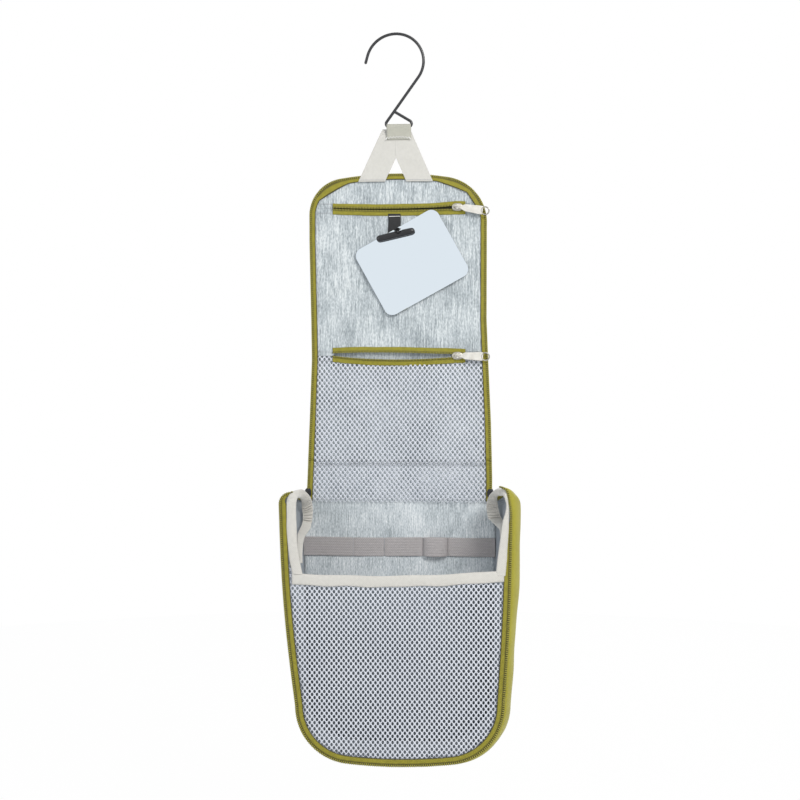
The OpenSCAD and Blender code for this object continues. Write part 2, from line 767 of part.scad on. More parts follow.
// A pull that hangs from the pin of a main slider.
module main_pull(side) {
  eye_r = pull_eye_d / 2;
  tip = main_pull_length - main_pull_w / 2;
  translate([side * main_lug_x(), main_pin_y, main_slider_z]) {
    difference() {
      union() {
        rotate([0, 90, 0]) cylinder(r = eye_r, h = pull_eye_w, center = true);
        translate([-pull_eye_w / 2, -pull_t / 2, -eye_r - 2])
          cube([pull_eye_w, pull_t, eye_r + 2]);
      }
      rotate([0, 90, 0]) cylinder(d = pin_d + 2 * pin_room, h = main_pull_w, center = true);
    }
    layer(-pull_t / 2, pull_t) difference() {
      union() {
        area([-main_pull_w / 2 + 0.8, -tip], [main_pull_w / 2 - 0.8, -eye_r - 1]);
        translate([0, -tip]) circle(d = main_pull_w);
      }
      translate([0, -tip]) circle(d = main_pull_w / 2);
    }
  }
}

module left_main_slider() color(metal_black) centred() main_slider(-1);
module right_main_slider() color(metal_black) centred() main_slider(1);
module left_main_pull() color(metal_black) centred() main_pull(-1);
module right_main_pull() color(metal_black) centred() main_pull(1);

// ---------- bag ----------

module back_panel() color(olive) centred() layer(shell_y, shell_t) polygon(bag_outline(1));

module back_lining() color(cloth_grey) centred()
  layer(lining_y, lining_t) polygon(bag_outline(1, wall_t + skin_gap));

module elastic_strip() color("gray") centred()
  layer(lining_y - elastic_t, elastic_t)
    area([-elastic_half, elastic_z - elastic_h / 2], [elastic_half, elastic_z + elastic_h / 2]);

module brush_loop() color("gray") centred() {
  front = lining_y - elastic_t;
  translate([brush_loop_x, 0, elastic_z - elastic_h / 2])
    linear_extrude(height = elastic_h) difference() {
      translate([-brush_loop_w / 2 - elastic_t, front - brush_loop_depth - elastic_t])
        square([brush_loop_w + 2 * elastic_t, brush_loop_depth + elastic_t]);
      translate([-brush_loop_w / 2, front - brush_loop_depth])
        square([brush_loop_w, brush_loop_depth + elastic_t]);
    }
}

// Rows of 3-D points of the walls between two depths, inset by d, for the
// outline's points from first to last.
function wall_grid(d, from_y, to_y, first, last) =
  [for (k = [0 : wall_rows]) let (
      y = mix(from_y, to_y, k / wall_rows),
      v = (y - wall_front_y) / (shell_y - wall_front_y),
      line = bag_outline(v, d)
    ) [for (i = [first : last]) [line[i][0], y, line[i][1]]]];

module wall(first, last) color(olive) centred()
  sheet_between(
    wall_grid(0, wall_front_y, shell_y, first, last),
    wall_grid(wall_t, wall_front_y, shell_y, first, last)
  );

module left_gusset() wall(0, ear_points);
module bottom_gusset() wall(ear_points, outline_n - 1 - ear_points);
module right_gusset() wall(outline_n - 1 - ear_points, outline_n - 1);

module compartment_lining() color(cloth_grey) centred() {
  front = wall_front_y + panel_t + skin_gap;
  outside = wall_t + inner_skin_gap;
  sheet_between(
    wall_grid(outside, front, lining_y, 0, outline_n - 1),
    wall_grid(outside + inner_skin_t, front, lining_y, 0, outline_n - 1)
  );
}

module front_zip_tape() color(olive) centred()
  layer(front_tape_y, front_tape_t)
    polygon(band(bag_outline(0), bag_outline(0, border, ear_tape_share)));

module front_zip_teeth() color(olive) centred()
  layer(front_y, teeth_t)
    polygon(band(bag_outline(0), bag_outline(0, coil_w, ear_tape_share)));

// Teeth along the rolled-in top edge of a side wall, from the front to the fold.
module top_edge_teeth(side) {
  edge = [for (k = [0 : wall_rows]) let (
      y = mix(wall_front_y, lining_y, k / wall_rows),
      v = (y - wall_front_y) / (shell_y - wall_front_y),
      line = bag_outline(v),
      p = side < 0 ? line[0] : line[outline_n - 1]
    ) [p[0] - side * inner_skin_gap, y, p[1]]];
  inwards = [-side * coil_w, 0, 0];
  down = [0, 0, -teeth_t];
  high = [for (p = edge) side < 0 ? [p, p + inwards] : [p + inwards, p]];
  sheet_between(high, [for (row = high) [for (p = row) p + down]]);
}

module left_top_zip_teeth() color(olive) centred() top_edge_teeth(-1);
module right_top_zip_teeth() color(olive) centred() top_edge_teeth(1);

// ---------- front opening ----------

// Height of the mesh's top edge, which sags towards the middle.
function mesh_edge(x) = mesh_top_z + mesh_sag * pow(x / (front_w / 2), 2);
function mesh_edge_line(drop) = [for (i = [-8 : 8]) let (x = i / 8 * front_w / 2)
  [x, mesh_edge(x) - drop]];

module front_mesh() color("gainsboro") centred() layer(wall_front_y, panel_t)
  intersection() {
    polygon(bag_outline(0, mesh_inset));
    polygon(concat(
      mesh_edge_line(0),
      [[front_w / 2, bag_bottom_z], [-front_w / 2, bag_bottom_z]]
    ));
  }

module mesh_top_binding() color(binding_grey) centred() layer(front_tape_y, front_tape_t)
  intersection() {
    polygon(band(mesh_edge_line(0), mesh_edge_line(binding_w)));
    inside_side_bindings();
  }

// Everything between the inner edges of the two side bindings.
module inside_side_bindings() {
  line = bag_outline(0, border + binding_w);
  left = [for (i = [ear_n : ear_points]) line[i]];
  right = [for (i = [outline_n - 1 - ear_points : outline_n - 1 - ear_n]) line[i]];
  polygon(concat(left, right));
}

// A side binding runs from the mesh up to the ear and over it, inwards.
module side_binding(side) {
  line = bag_outline(0, border, ear_tape_share);
  inner = bag_outline(0, border + binding_w);
  n = outline_n - 1;
  outer_edge = [for (i = [0 : ear_points]) line[side < 0 ? i : n - i]];
  inner_edge = [for (i = [ear_n : ear_points]) inner[side < 0 ? i : n - i]];
  arch_inner = side * arch_x;
  layer(front_tape_y, front_tape_t) intersection() {
    polygon(concat(
      outer_edge,
      reversed(inner_edge),
      [[arch_inner, inner_edge[0][1]], [arch_inner, outer_edge[0][1]]]
    ));
    area([-front_w, mesh_top_z - binding_w], [front_w, ear_z]);
  }
}

module left_side_binding() color(binding_grey) centred() side_binding(-1);
module right_side_binding() color(binding_grey) centred() side_binding(1);

// A gathered band that runs back from the ear below the closed lid and then
// drops down in front of the lining.
module corner_gather(side) {
  turn = [gather_back_y - gather_r, bag_fold_z - gather_sink - gather_slope * (gather_back_y - gather_r)];
  start = [wall_front_y, bag_fold_z - gather_sink - gather_slope * wall_front_y];
  bend = [for (i = [0 : 6]) let (a = 90 - 15 * i)
    [turn[0] + gather_r * cos(a), turn[1] - gather_r + gather_r * sin(a)]];
  path = concat([start], bend, [[gather_back_y, bag_fold_z - gather_drop]]);
  x = side < 0 ? -arch_x - binding_w : arch_x;
  along_x(x, binding_w) polygon(thick_line(path, gather_t));
}

module left_corner_gather() color("darkgray") centred() corner_gather(-1);
module right_corner_gather() color("darkgray") centred() corner_gather(1);

hook_wire();
strap_loop();
strap_bartack();
strap_left_leg();
strap_right_leg();
strap_left_anchor();
strap_right_anchor();
lid_cover_shell();
lid_cover_lining();
lid_cover_zip_tape();
lid_cover_zip_teeth();
lid_crown_panel();
upper_pocket_panel();
mesh_pocket_upper();
upper_zip_tapes();
upper_zip_teeth();
upper_zip_slider();
upper_zip_pull();
lower_zip_tapes();
lower_zip_teeth();
lower_zip_slider();
lower_zip_pull();
mirror_webbing();
mirror_toggle();
mirror_plate();
lid_top_shell();
lid_top_lining();
lid_top_zip_tape();
lid_top_zip_teeth();
mesh_pocket_lower();
left_main_slider();
right_main_slider();
left_main_pull();
right_main_pull();
back_panel();
back_lining();
elastic_strip();
brush_loop();
left_gusset();
right_gusset();
bottom_gusset();
compartment_lining();
front_zip_tape();
front_zip_teeth();
left_top_zip_teeth();
right_top_zip_teeth();
front_mesh();
mesh_top_binding();
left_side_binding();
right_side_binding();
left_corner_gather();
right_corner_gather();
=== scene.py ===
"""Hanging toiletry bag: the cloth, zips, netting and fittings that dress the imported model.

Shapes are worked out in millimetres with +X right, +Y back and +Z up, then written in metres.
Most pieces are grids of points: a formula of two numbers, u across and v along, gives each point.
"""
import math

import bpy
import numpy as np
from mathutils import Matrix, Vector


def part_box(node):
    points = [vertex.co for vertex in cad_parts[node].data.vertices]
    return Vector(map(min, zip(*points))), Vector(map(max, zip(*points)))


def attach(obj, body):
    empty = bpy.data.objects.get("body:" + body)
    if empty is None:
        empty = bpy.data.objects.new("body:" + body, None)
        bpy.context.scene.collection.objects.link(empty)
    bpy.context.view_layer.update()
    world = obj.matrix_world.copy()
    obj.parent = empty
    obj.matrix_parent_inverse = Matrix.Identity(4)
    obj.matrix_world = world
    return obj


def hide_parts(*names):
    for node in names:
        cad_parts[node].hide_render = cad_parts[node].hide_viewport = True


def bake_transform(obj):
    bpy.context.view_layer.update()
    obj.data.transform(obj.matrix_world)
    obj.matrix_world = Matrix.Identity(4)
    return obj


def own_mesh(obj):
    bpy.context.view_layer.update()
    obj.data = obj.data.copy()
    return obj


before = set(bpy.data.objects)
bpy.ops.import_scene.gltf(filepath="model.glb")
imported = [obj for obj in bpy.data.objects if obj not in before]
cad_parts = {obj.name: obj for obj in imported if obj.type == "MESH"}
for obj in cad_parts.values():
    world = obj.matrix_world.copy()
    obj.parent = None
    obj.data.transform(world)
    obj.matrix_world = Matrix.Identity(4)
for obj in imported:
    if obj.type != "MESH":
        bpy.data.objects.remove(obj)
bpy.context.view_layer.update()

# ---------------------------------------------------------------- sizes, the part's own but for those noted

WIRE_D = 2.6
HOOK_ARC_R = 24.4
SHANK_LENGTH = 48.5
SHANK_ANGLE = math.radians(35.5)
BAR_LENGTH = 17.0
FOOT_BEND_R = 2.8
CLOSING_ANGLE = math.radians(59)
STRAP_W = 21.6
STRAP_RISE = 41.0
LOOP_DROP = 11.5
ANCHOR_LENGTH = 7.5
LEG_FOOT = {-1: -20.3, 1: 14.8}
LEG_APEX = {-1: -2.7, 1: -1.8}
LID_W = 158.0
# Heights below the lid's end, and there half its width and how far its middle leans to the right
LID_STATIONS = (0, 60, 130, 165, 220, 270, 290)
LID_HALVES = (79.0, 78.9, 78.0, 78.4, 80.6, 82.2, 82.6)
LID_LEANS = (-1.0, -1.0, -0.3, 0.7, 0.9, 0.5, 0.0)
TOP_LENGTH = 70.0
COVER_LENGTH = 220.0
LID_CORNER_R = {-1: 33.0, 1: 41.0}
LID_CROWN = math.radians(9)
FRONT_W = 198.0
FRONT_LOW_W = 177.6
BACK_W = 176.0
BACK_LOW_W = 166.0
BAG_DEPTH = 58.0
# The cloth hangs 1.2 mm lower than the solids
BAG_HEIGHT = 221.2
# The right ear stands 5 mm taller than in the solids, has a rounder top halfway back, and leans in
EAR_TOP = {-1: 10.5, 1: 15.5}
EAR_R = {-1: 10.0, 1: 6.0}
EAR_SWELL = {-1: 0.0, 1: 8.0}
EAR_LEAN = {-1: 0.0, 1: 3.0}
HINGE_R = 2.2
BAG_CORNER_R = {-1: 49.0, 1: 50.0}
BACK_CORNER_R = 42.0
BELLY = {-1: 2.0, 1: 12.5}
LOW_BELLY = {-1: 2.0, 1: 8.7}
SIDE_BOW = {-1: 2.8, 1: 1.9}
BAG_SKEW = 3.8
BOTTOM_BELLY = 3.5
BOTTOM_RISE = 5.0
BOTTOM_CROWN = math.radians(6)
COIL_W = 2.2
TAPE_W = 3.6
BORDER = COIL_W + TAPE_W
ZIP_HALF = 59.0
MIRROR_TILT = math.radians(29)

SHANK_DIR = np.array([-math.sin(SHANK_ANGLE), -math.cos(SHANK_ANGLE)])
ARC_Z = WIRE_D / 2 - HOOK_ARC_R
SHANK_TOP = np.array([HOOK_ARC_R * math.cos(SHANK_ANGLE), ARC_Z - HOOK_ARC_R * math.sin(SHANK_ANGLE)])
SHANK_FOOT = SHANK_TOP + SHANK_LENGTH * SHANK_DIR
LEFT_BEND = SHANK_FOOT + FOOT_BEND_R * np.array([math.cos(SHANK_ANGLE), -math.sin(SHANK_ANGLE)])
RIGHT_BEND = LEFT_BEND + [BAR_LENGTH, 0]
BAR_Z = LEFT_BEND[1] - FOOT_BEND_R
BAG_X = LEFT_BEND[0] + BAR_LENGTH / 2
LID_END = BAR_Z - STRAP_RISE
COVER_FOLD = LID_END - COVER_LENGTH
BAG_FOLD = COVER_FOLD - TOP_LENGTH
BAG_BOTTOM = BAG_FOLD - BAG_HEIGHT
MID_TOP = (COVER_FOLD + BAG_FOLD) / 2
UPPER_ZIP = LID_END - 30.5
LOWER_ZIP = LID_END - 162.0
ELASTIC_Z = BAG_FOLD - 41.5
MESH_TOP = BAG_FOLD - 61.0
PANEL_Y = 1.45
LINING_Y = 3.7
SHELL_Y = 4.5
BACK_Y = 5.5
FOLD_Y = 0.3
FRONT_Y = FOLD_Y - BAG_DEPTH
WALL_FRONT_Y = FRONT_Y + 2.8
# Creases of the lining: middle (x, and mm below the lid's end or above the lower fold), angle, half length,
# half width and depth
CROWN_CREASES = ((-38, 16, 35, 16, 7, 0.6), (10, 12, -8, 20, 6, 0.55), (36, 18, 20, 14, 6, -0.5))
POCKET_CREASES = (
    (-42, 78, -52, 24, 9, 0.9), (-56, 104, 24, 20, 8, -0.75), (-30, 112, 62, 18, 8, 0.7),
    (-62, 60, 80, 26, 7, 0.55), (46, 146, 22, 26, 9, 0.85), (63, 92, -66, 16, 8, 0.7),
    (56, 54, 70, 14, 7, -0.6), (-6, 148, 8, 22, 6, 0.4),
)
BACK_CREASES = (
    (-62, -28, -58, 14, 6, 0.5), (-46, -22, 64, 18, 8, -0.5), (-20, -20, 78, 14, 6, 0.4),
    (18, -24, 74, 18, 7, -0.4), (58, -22, 62, 14, 7, 0.5), (70, -34, -70, 12, 5, 0.4),
)

# ---------------------------------------------------------------- meshes from grids


def write_mesh(name, points, faces, corner_uv, finish, body=None, offset=(BAG_X, 0, 0), smooth=True):
    """A mesh object from points in millimetres and faces, a list of index arrays of equal width each.

    corner_uv holds one (u, v) in millimetres for every corner of every face, in the same order."""
    xyz = (np.asarray(points, float).reshape(-1, 3) + np.asarray(offset, float)) / 1000
    faces = [np.asarray(f, int) for f in faces if len(f)]
    loops = np.concatenate([f.ravel() for f in faces])
    totals = np.concatenate([np.full(len(f), f.shape[1]) for f in faces])
    starts = np.concatenate([[0], np.cumsum(totals)[:-1]])
    mesh = bpy.data.meshes.new(name)
    mesh.vertices.add(len(xyz))
    mesh.vertices.foreach_set("co", xyz.ravel())
    mesh.loops.add(len(loops))
    mesh.loops.foreach_set("vertex_index", loops)
    mesh.polygons.add(len(totals))
    mesh.polygons.foreach_set("loop_start", starts)
    mesh.polygons.foreach_set("loop_total", totals)
    mesh.polygons.foreach_set("use_smooth", np.full(len(totals), smooth))
    if corner_uv is not None:
        layer = mesh.uv_layers.new(name="UVMap")
        layer.data.foreach_set("uv", np.asarray(corner_uv, float).ravel())
    mesh.update(calc_edges=True)
    mesh.validate()
    thing = bpy.data.objects.new(name, mesh)
    bpy.context.scene.collection.objects.link(thing)
    mesh.materials.append(finish)
    if body:
        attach(thing, body)
    return thing


def grid_faces(rows, cols, start=0, flip=False, wrap_rows=False, wrap_cols=False):
    """Quads of a rows by cols grid of points, facing along d(row) x d(col), with their grid corners."""
    i, j = np.meshgrid(
        np.arange(rows if wrap_rows else rows - 1), np.arange(cols if wrap_cols else cols - 1), indexing="ij"
    )
    i, j = i.ravel(), j.ravel()
    corners = [(i, j), (i + 1, j), (i + 1, j + 1), (i, j + 1)]
    if flip:
        corners = corners[::-1]
    quads = np.stack([start + (a % rows) * cols + (b % cols) for a, b in corners], axis=1)
    at = np.stack([np.stack([a, b], axis=1) for a, b in corners], axis=1)
    return quads, at


def corner_values(at, uv):
    """The (u, v) of each grid corner. uv has one row and column more than a wrapped grid has."""
    return uv[at[..., 0], at[..., 1]].reshape(-1, 2)


def cloth_parts(front, back, uv):
    """Points, quads and corner (u, v) of a closed sheet: its two faces and the rim between them."""
    rows, cols = front.shape[:2]
    n = rows * cols
    quads, at = grid_faces(rows, cols)
    under, under_at = grid_faces(rows, cols, n, flip=True)
    index = np.arange(n).reshape(rows, cols)
    ring = np.concatenate([index[:-1, 0], index[-1, :-1], index[:0:-1, -1], index[0, :0:-1]])
    ring_uv = uv.reshape(-1, 2)[ring]
    nxt = np.roll(ring, -1)
    rim = np.stack([ring + n, nxt + n, nxt, ring], axis=1)
    rim_uv = np.stack([ring_uv, np.roll(ring_uv, -1, 0), np.roll(ring_uv, -1, 0), ring_uv], axis=1)
    points = np.concatenate([front.reshape(-1, 3), back.reshape(-1, 3)])
    corner_uv = np.concatenate([corner_values(at, uv), corner_values(under_at, uv), rim_uv.reshape(-1, 2)])
    return points, [np.concatenate([quads, under, rim])], corner_uv


def normals_of(grid):
    """Unit normals of a grid of points: d(row) crossed with d(col)."""
    a = np.gradient(grid, axis=0)
    b = np.gradient(grid, axis=1)
    n = np.cross(a, b)
    return n / np.maximum(np.linalg.norm(n, axis=2, keepdims=True), 1e-9)


def cloth(name, middle, thickness, finish, body=None, uv=None):
    """A closed sheet of even thickness: the middle grid moved half of it either way along its normals."""
    normal = normals_of(middle)
    if uv is None:
        uv = arc_uv(middle)
    points, faces, corner_uv = cloth_parts(
        middle + normal * thickness / 2, middle - normal * thickness / 2, uv
    )
    return write_mesh(name, points, faces, corner_uv, finish, body)


def arc_uv(grid):
    """(u, v) in millimetres: the lengths along the middle row and column, spread over the grid."""
    du = np.linalg.norm(np.diff(grid, axis=0), axis=2).mean(axis=1)
    dv = np.linalg.norm(np.diff(grid, axis=1), axis=2).mean(axis=0)
    u = np.concatenate([[0], np.cumsum(du)])
    v = np.concatenate([[0], np.cumsum(dv)])
    return np.stack(np.meshgrid(u, v, indexing="ij"), axis=2)


def tube_parts(path, radius, sides, closed=False, normal=(0, 1, 0)):
    """A round bar along a path: each ring is radius times (cos, sin) in the plane across the path.

    radius may change along the path. Open ends are rounded over by a smaller ring and a pole."""
    path = np.asarray(path, float)
    radius = np.broadcast_to(np.asarray(radius, float), len(path)).copy()
    if closed:
        along = np.roll(path, -1, 0) - np.roll(path, 1, 0)
    else:
        along = np.gradient(path, axis=0)
    along /= np.linalg.norm(along, axis=1, keepdims=True)
    side = np.cross(along, normal)
    side /= np.linalg.norm(side, axis=1, keepdims=True)
    up = np.cross(side, along)
    if not closed:
        first, last = path[0], path[-1]
        r0, r1 = radius[0], radius[-1]
        path = np.concatenate([
            [first - along[0] * r0 * 0.85], [first - along[0] * r0 * 0.5], path,
            [last + along[-1] * r1 * 0.5], [last + along[-1] * r1 * 0.85],
        ])
        radius = np.concatenate([[r0 * 0.5, r0 * 0.86], radius, [r1 * 0.86, r1 * 0.5]])
        side = np.concatenate([[side[0]] * 2, side, [side[-1]] * 2])
        up = np.concatenate([[up[0]] * 2, up, [up[-1]] * 2])
        tips = [first - along[0] * r0, last + along[-1] * r1]
    angle = np.linspace(0, 2 * np.pi, sides, endpoint=False)
    spokes = np.cos(angle)[None, :, None] * side[:, None] + np.sin(angle)[None, :, None] * up[:, None]
    ring = path[:, None] + radius[:, None, None] * spokes
    rows = len(path)
    quads, at = grid_faces(rows, sides, wrap_rows=closed, wrap_cols=True, flip=True)
    length = np.concatenate([[0], np.cumsum(np.linalg.norm(np.diff(path, axis=0), axis=1))])
    if closed:
        length = np.append(length, length[-1] + np.linalg.norm(path[0] - path[-1]))
    around = np.arange(sides + 1) / sides * 2 * np.pi * radius.mean()
    uv = np.stack(np.meshgrid(length, around, indexing="ij"), axis=2)
    points = ring.reshape(-1, 3)
    faces = [quads]
    corner_uv = [corner_values(at, uv)]
    if not closed:
        n = len(points)
        points = np.concatenate([points, tips])
        k = np.arange(sides)
        nxt = (k + 1) % sides
        last = n - sides
        first_cap = np.stack([k, nxt, np.full(sides, n)], axis=1)
        last_cap = np.stack([last + nxt, last + k, np.full(sides, n + 1)], axis=1)
        faces.append(np.concatenate([first_cap, last_cap]))
        corner_uv.append(np.zeros((6 * sides, 2)))
    return points, faces, np.concatenate(corner_uv)


def joined(parts):
    """Several (points, faces, corner uv) put together as one, faces sorted by their number of corners."""
    points, by_width, uvs = [], {}, {}
    start = 0
    for p, faces, uv in parts:
        taken = 0
        for f in faces:
            w = f.shape[1]
            by_width.setdefault(w, []).append(f + start)
            uvs.setdefault(w, []).append(uv[taken:taken + f.size])
            taken += f.size
        points.append(p)
        start += len(p)
    widths = sorted(by_width, reverse=True)
    return (
        np.concatenate(points),
        [np.concatenate(by_width[w]) for w in widths],
        np.concatenate([np.concatenate(uvs[w]) for w in widths]),
    )


def copies(unit, places, turns):
    """One small shape, (points, faces, uv), set down at many places, each turned by its own 3 by 3 matrix."""
    p, faces, uv = unit
    count = len(places)
    points = np.einsum("kab,nb->kna", turns, p) + places[:, None]
    shift = (np.arange(count) * len(p))[:, None, None]
    uv_of_each = np.split(uv, np.cumsum([f.size for f in faces])[:-1])
    return (
        points.reshape(-1, 3),
        [(f[None] + shift).reshape(-1, f.shape[1]) for f in faces],
        np.concatenate([np.tile(part, (count, 1)) for part in uv_of_each]),
    )


def resample(line, step=None, count=None):
    """Points at even steps along a line of points, measured by arc length."""
    line = np.asarray(line, float)
    s = np.concatenate([[0], np.cumsum(np.linalg.norm(np.diff(line, axis=0), axis=1))])
    n = count or max(2, int(round(s[-1] / step)) + 1)
    t = np.linspace(0, s[-1], n)
    return np.stack([np.interp(t, s, line[:, k]) for k in range(line.shape[1])], axis=1)


def smoothstep(x, low, high):
    """0 below low, 1 above high, and the cubic 3t^2 - 2t^3 between."""
    t = np.clip((x - low) / (high - low), 0, 1)
    return t * t * (3 - 2 * t)


def coons(bottom, top, left, right):
    """A Coons patch: the two ruled surfaces between opposite edges, less the bilinear one of the corners."""
    nu, nv = len(bottom), len(left)
    u = np.linspace(0, 1, nu)[:, None, None]
    v = np.linspace(0, 1, nv)[None, :, None]
    ruled = (1 - v) * bottom[:, None] + v * top[:, None] + (1 - u) * left[None] + u * right[None]
    corners = (
        (1 - u) * (1 - v) * bottom[0] + u * (1 - v) * bottom[-1] + (1 - u) * v * top[0] + u * v * top[-1]
    )
    return ruled - corners


def waves(x, z, seed, size, amount, stretch=(1.0, 1.0)):
    """Soft unevenness of cloth: nine sine waves whose directions and phases come from a seeded draw."""
    r = np.random.default_rng(seed)
    total = np.zeros_like(x, dtype=float)
    for _ in range(9):
        angle = r.uniform(0, np.pi)
        length = size * r.uniform(0.6, 1.7)
        along = x * stretch[0] * np.cos(angle) + z * stretch[1] * np.sin(angle)
        total += np.sin(2 * np.pi * along / length + r.uniform(0, 6.3))
    return total * amount / 3


def crease(flat, at, turn, long, wide, deep):
    """One soft crease of cloth: deep x exp(-(a/long)^4) x (b/wide) exp(-(b/wide)^2), a along it and b across.

    It is a hollow on one side of its line and a ridge on the other, so light falls on one flank only."""
    c, s = math.cos(math.radians(turn)), math.sin(math.radians(turn))
    dx, dz = flat[..., 0] - at[0], flat[..., 1] - at[1]
    a, b = (dx * c + dz * s) / long, (dz * c - dx * s) / wide
    return deep * 2.3 * np.exp(-(a**4)) * b * np.exp(-(b * b))


def distance_to(points, line):
    """Shortest distance from each 2-D point to a line of points."""
    a, b = line[:-1], line[1:]
    d = b - a
    p = points.reshape(-1, 1, 2)
    t = np.clip(((p - a) * d).sum(2) / np.maximum((d * d).sum(1), 1e-9), 0, 1)
    return np.sqrt((((a + t[..., None] * d) - p) ** 2).sum(2).min(1)).reshape(points.shape[:-1])


# ---------------------------------------------------------------- outlines, in X and Z


def crowned_corner(half, end_z, r, way, crown, d, corner_n, end_n):
    """Half of a crowned end with a round corner, from the corner's start on the side to the middle of the
    end.

    The corner is an arc of r - d. The end is a parabola that rises by half x tan(crown) and meets the arc
    smoothly."""
    rr = r - d
    x1 = half - d - rr + rr * math.sin(crown)
    rise = x1 * math.tan(crown) / 2
    cz = end_z - way * (d + rise + rr * math.cos(crown))
    a = np.linspace(0, math.pi / 2 - crown, corner_n + 1)
    arc = np.stack([half - d - rr + rr * np.cos(a), cz + way * rr * np.sin(a)], axis=1)
    x = x1 * (1 - np.arange(1, end_n + 1) / end_n)
    end = np.stack([x, end_z - way * (d + rise * (x / x1) ** 2)], axis=1)
    return np.concatenate([arc, end])


def lid_side(z, side):
    """How far the lid's left (-1) or right (1) edge is from the middle at height z: straight between
    stations."""
    below = LID_END - np.asarray(z, float)
    return np.interp(below, LID_STATIONS, LID_HALVES) + side * np.interp(below, LID_STATIONS, LID_LEANS)


def lid_edge(d, low, side, corner_n=30, end_n=30, count=60):
    """One half of the lid's outline inset by d, from height low up the side and round to the middle of the
    top.

    Gives the points, and how many of them come before the corner."""
    half = float(lid_side(LID_END, side))
    end = crowned_corner(half, LID_END, LID_CORNER_R[side], 1, LID_CROWN, d, corner_n, end_n)
    z = np.linspace(low, end[0, 1], count + 1)[:-1]
    rise = np.stack([lid_side(z, side) - d, z], axis=1)
    return np.concatenate([rise, end]) * [side, 1], count


def lid_reach(z, side, d):
    """How far the lid's outline, inset by d, is from the middle at height z, round corners and all."""
    line, _ = lid_edge(d, LID_END - 100, side, corner_n=60)
    return np.interp(z, line[:, 1], np.abs(line[:, 0]))


def lid_ring(d, low, **sizes):
    """The lid's whole outline inset by d, from the left end at height low, over the top, to the right end."""
    return np.concatenate([lid_edge(d, low, -1, **sizes)[0], lid_edge(d, low, 1, **sizes)[0][-2::-1]])


def lid_patch(d, low, nu, nv):
    """An even grid over the lid above height low: a Coons patch with its upper corners halfway round the
    arcs."""
    corner_n = 30
    left, n = lid_edge(d, low, -1, corner_n)
    right, _ = lid_edge(d, low, 1, corner_n)
    turn = n + corner_n // 2
    top = resample(np.concatenate([left[turn:], right[-2 : turn - 1 : -1]]), count=nu)
    bottom = np.linspace(left[0], right[0], nu)
    return coons(bottom, top, resample(left[: turn + 1], count=nv), resample(right[: turn + 1], count=nv))


def bag_side(v, d, side, ear_n, side_n, corner_n, end_n, share=1.0):
    """One side (-1 left, 1 right) of the bag's outline at depth v (0 front, 1 back), inset by d, from the
    rolled-in top edge down the side and round the corner to the middle of the bottom.

    Between front and back it bellies out by belly x sin(pi v^0.8). The front's sides bow out by SIDE_BOW,
    its foot leans to the right by BAG_SKEW, and its ears lean in by EAR_LEAN."""
    swell = math.sin(math.pi * v**0.8)
    top_half = (FRONT_W + (BACK_W - FRONT_W) * v) / 2 + BELLY[side] * swell
    low_half = (FRONT_LOW_W + (BACK_LOW_W - FRONT_LOW_W) * v) / 2 + LOW_BELLY[side] * swell
    low_half += side * BAG_SKEW * (1 - v)
    corner_r = BAG_CORNER_R[side] + (BACK_CORNER_R - BAG_CORNER_R[side]) * v
    top_z = BAG_FOLD + EAR_TOP[side] - (0.2 + EAR_TOP[side]) * v
    low_z = BAG_BOTTOM + BOTTOM_RISE * v - BOTTOM_BELLY * swell
    r = EAR_R[side] + (HINGE_R - EAR_R[side]) * v + EAR_SWELL[side] * math.sin(math.pi * v)
    low = crowned_corner(low_half, low_z, corner_r, -1, BOTTOM_CROWN, d, corner_n, end_n)
    i = np.arange(ear_n)
    a = math.pi / 2 * (1 - i / ear_n)
    rr = r - d * (share + (1 - share) * i / ear_n)
    ear = np.stack([top_half - r + rr * np.cos(a), top_z - r + rr * np.sin(a)], axis=1)
    t = np.arange(side_n) / side_n
    bow = SIDE_BOW[side] * (1 - v) * np.sin(np.pi * t)
    flank_x = top_half - d + (low[0, 0] - top_half + d) * t + bow
    flank = np.stack([flank_x, top_z - r + (low[0, 1] - top_z + r) * t], axis=1)
    line = np.concatenate([ear, flank, low])
    line[:, 0] -= EAR_LEAN[side] * (1 - v) * smoothstep(line[:, 1], BAG_FOLD - 8, BAG_FOLD + EAR_TOP[side])
    return line * [side, 1]


def bag_ring(v, d, share=1.0, **sizes):
    """The bag's whole outline at depth v, inset by d, from the left top edge round the bottom to the
    right."""
    left, right = (bag_side(v, d, side, share=share, **sizes) for side in (-1, 1))
    return np.concatenate([left, right[-2::-1]])


def at_depth(line, y):
    """A 2-D line in X and Z set at depth y."""
    return np.stack([line[..., 0], np.broadcast_to(y, line.shape[:-1]), line[..., 1]], axis=-1)


# ---------------------------------------------------------------- finishes


def rgb(code):
    """The linear colour of an sRGB hex code: c/12.92 below 0.04045, ((c + 0.055)/1.055)^2.4 above."""
    c = np.array([int(code[i : i + 2], 16) / 255 for i in (0, 2, 4)])
    c = np.where(c <= 0.04045, c / 12.92, ((c + 0.055) / 1.055) ** 2.4)
    return (*c.tolist(), 1.0)


def add(tree, kind, links=None, **settings):
    """A shader node with its settings. Each input, by name or number, gets a value or another node's
    socket."""
    node = tree.nodes.new("ShaderNode" + kind)
    for key, value in settings.items():
        setattr(node, key, value)
    for key, value in (links or {}).items():
        if isinstance(value, bpy.types.NodeSocket):
            tree.links.new(value, node.inputs[key])
        else:
            node.inputs[key].default_value = value
    return node


def finish(name, **surface):
    """A new material with one Principled surface. Returns it, its tree and the surface node."""
    material = bpy.data.materials.new(name)
    material.use_nodes = True
    tree = material.node_tree
    tree.nodes.clear()
    surface_node = add(tree, "BsdfPrincipled", surface)
    add(tree, "OutputMaterial", {"Surface": surface_node.outputs[0]})
    return material, tree, surface_node


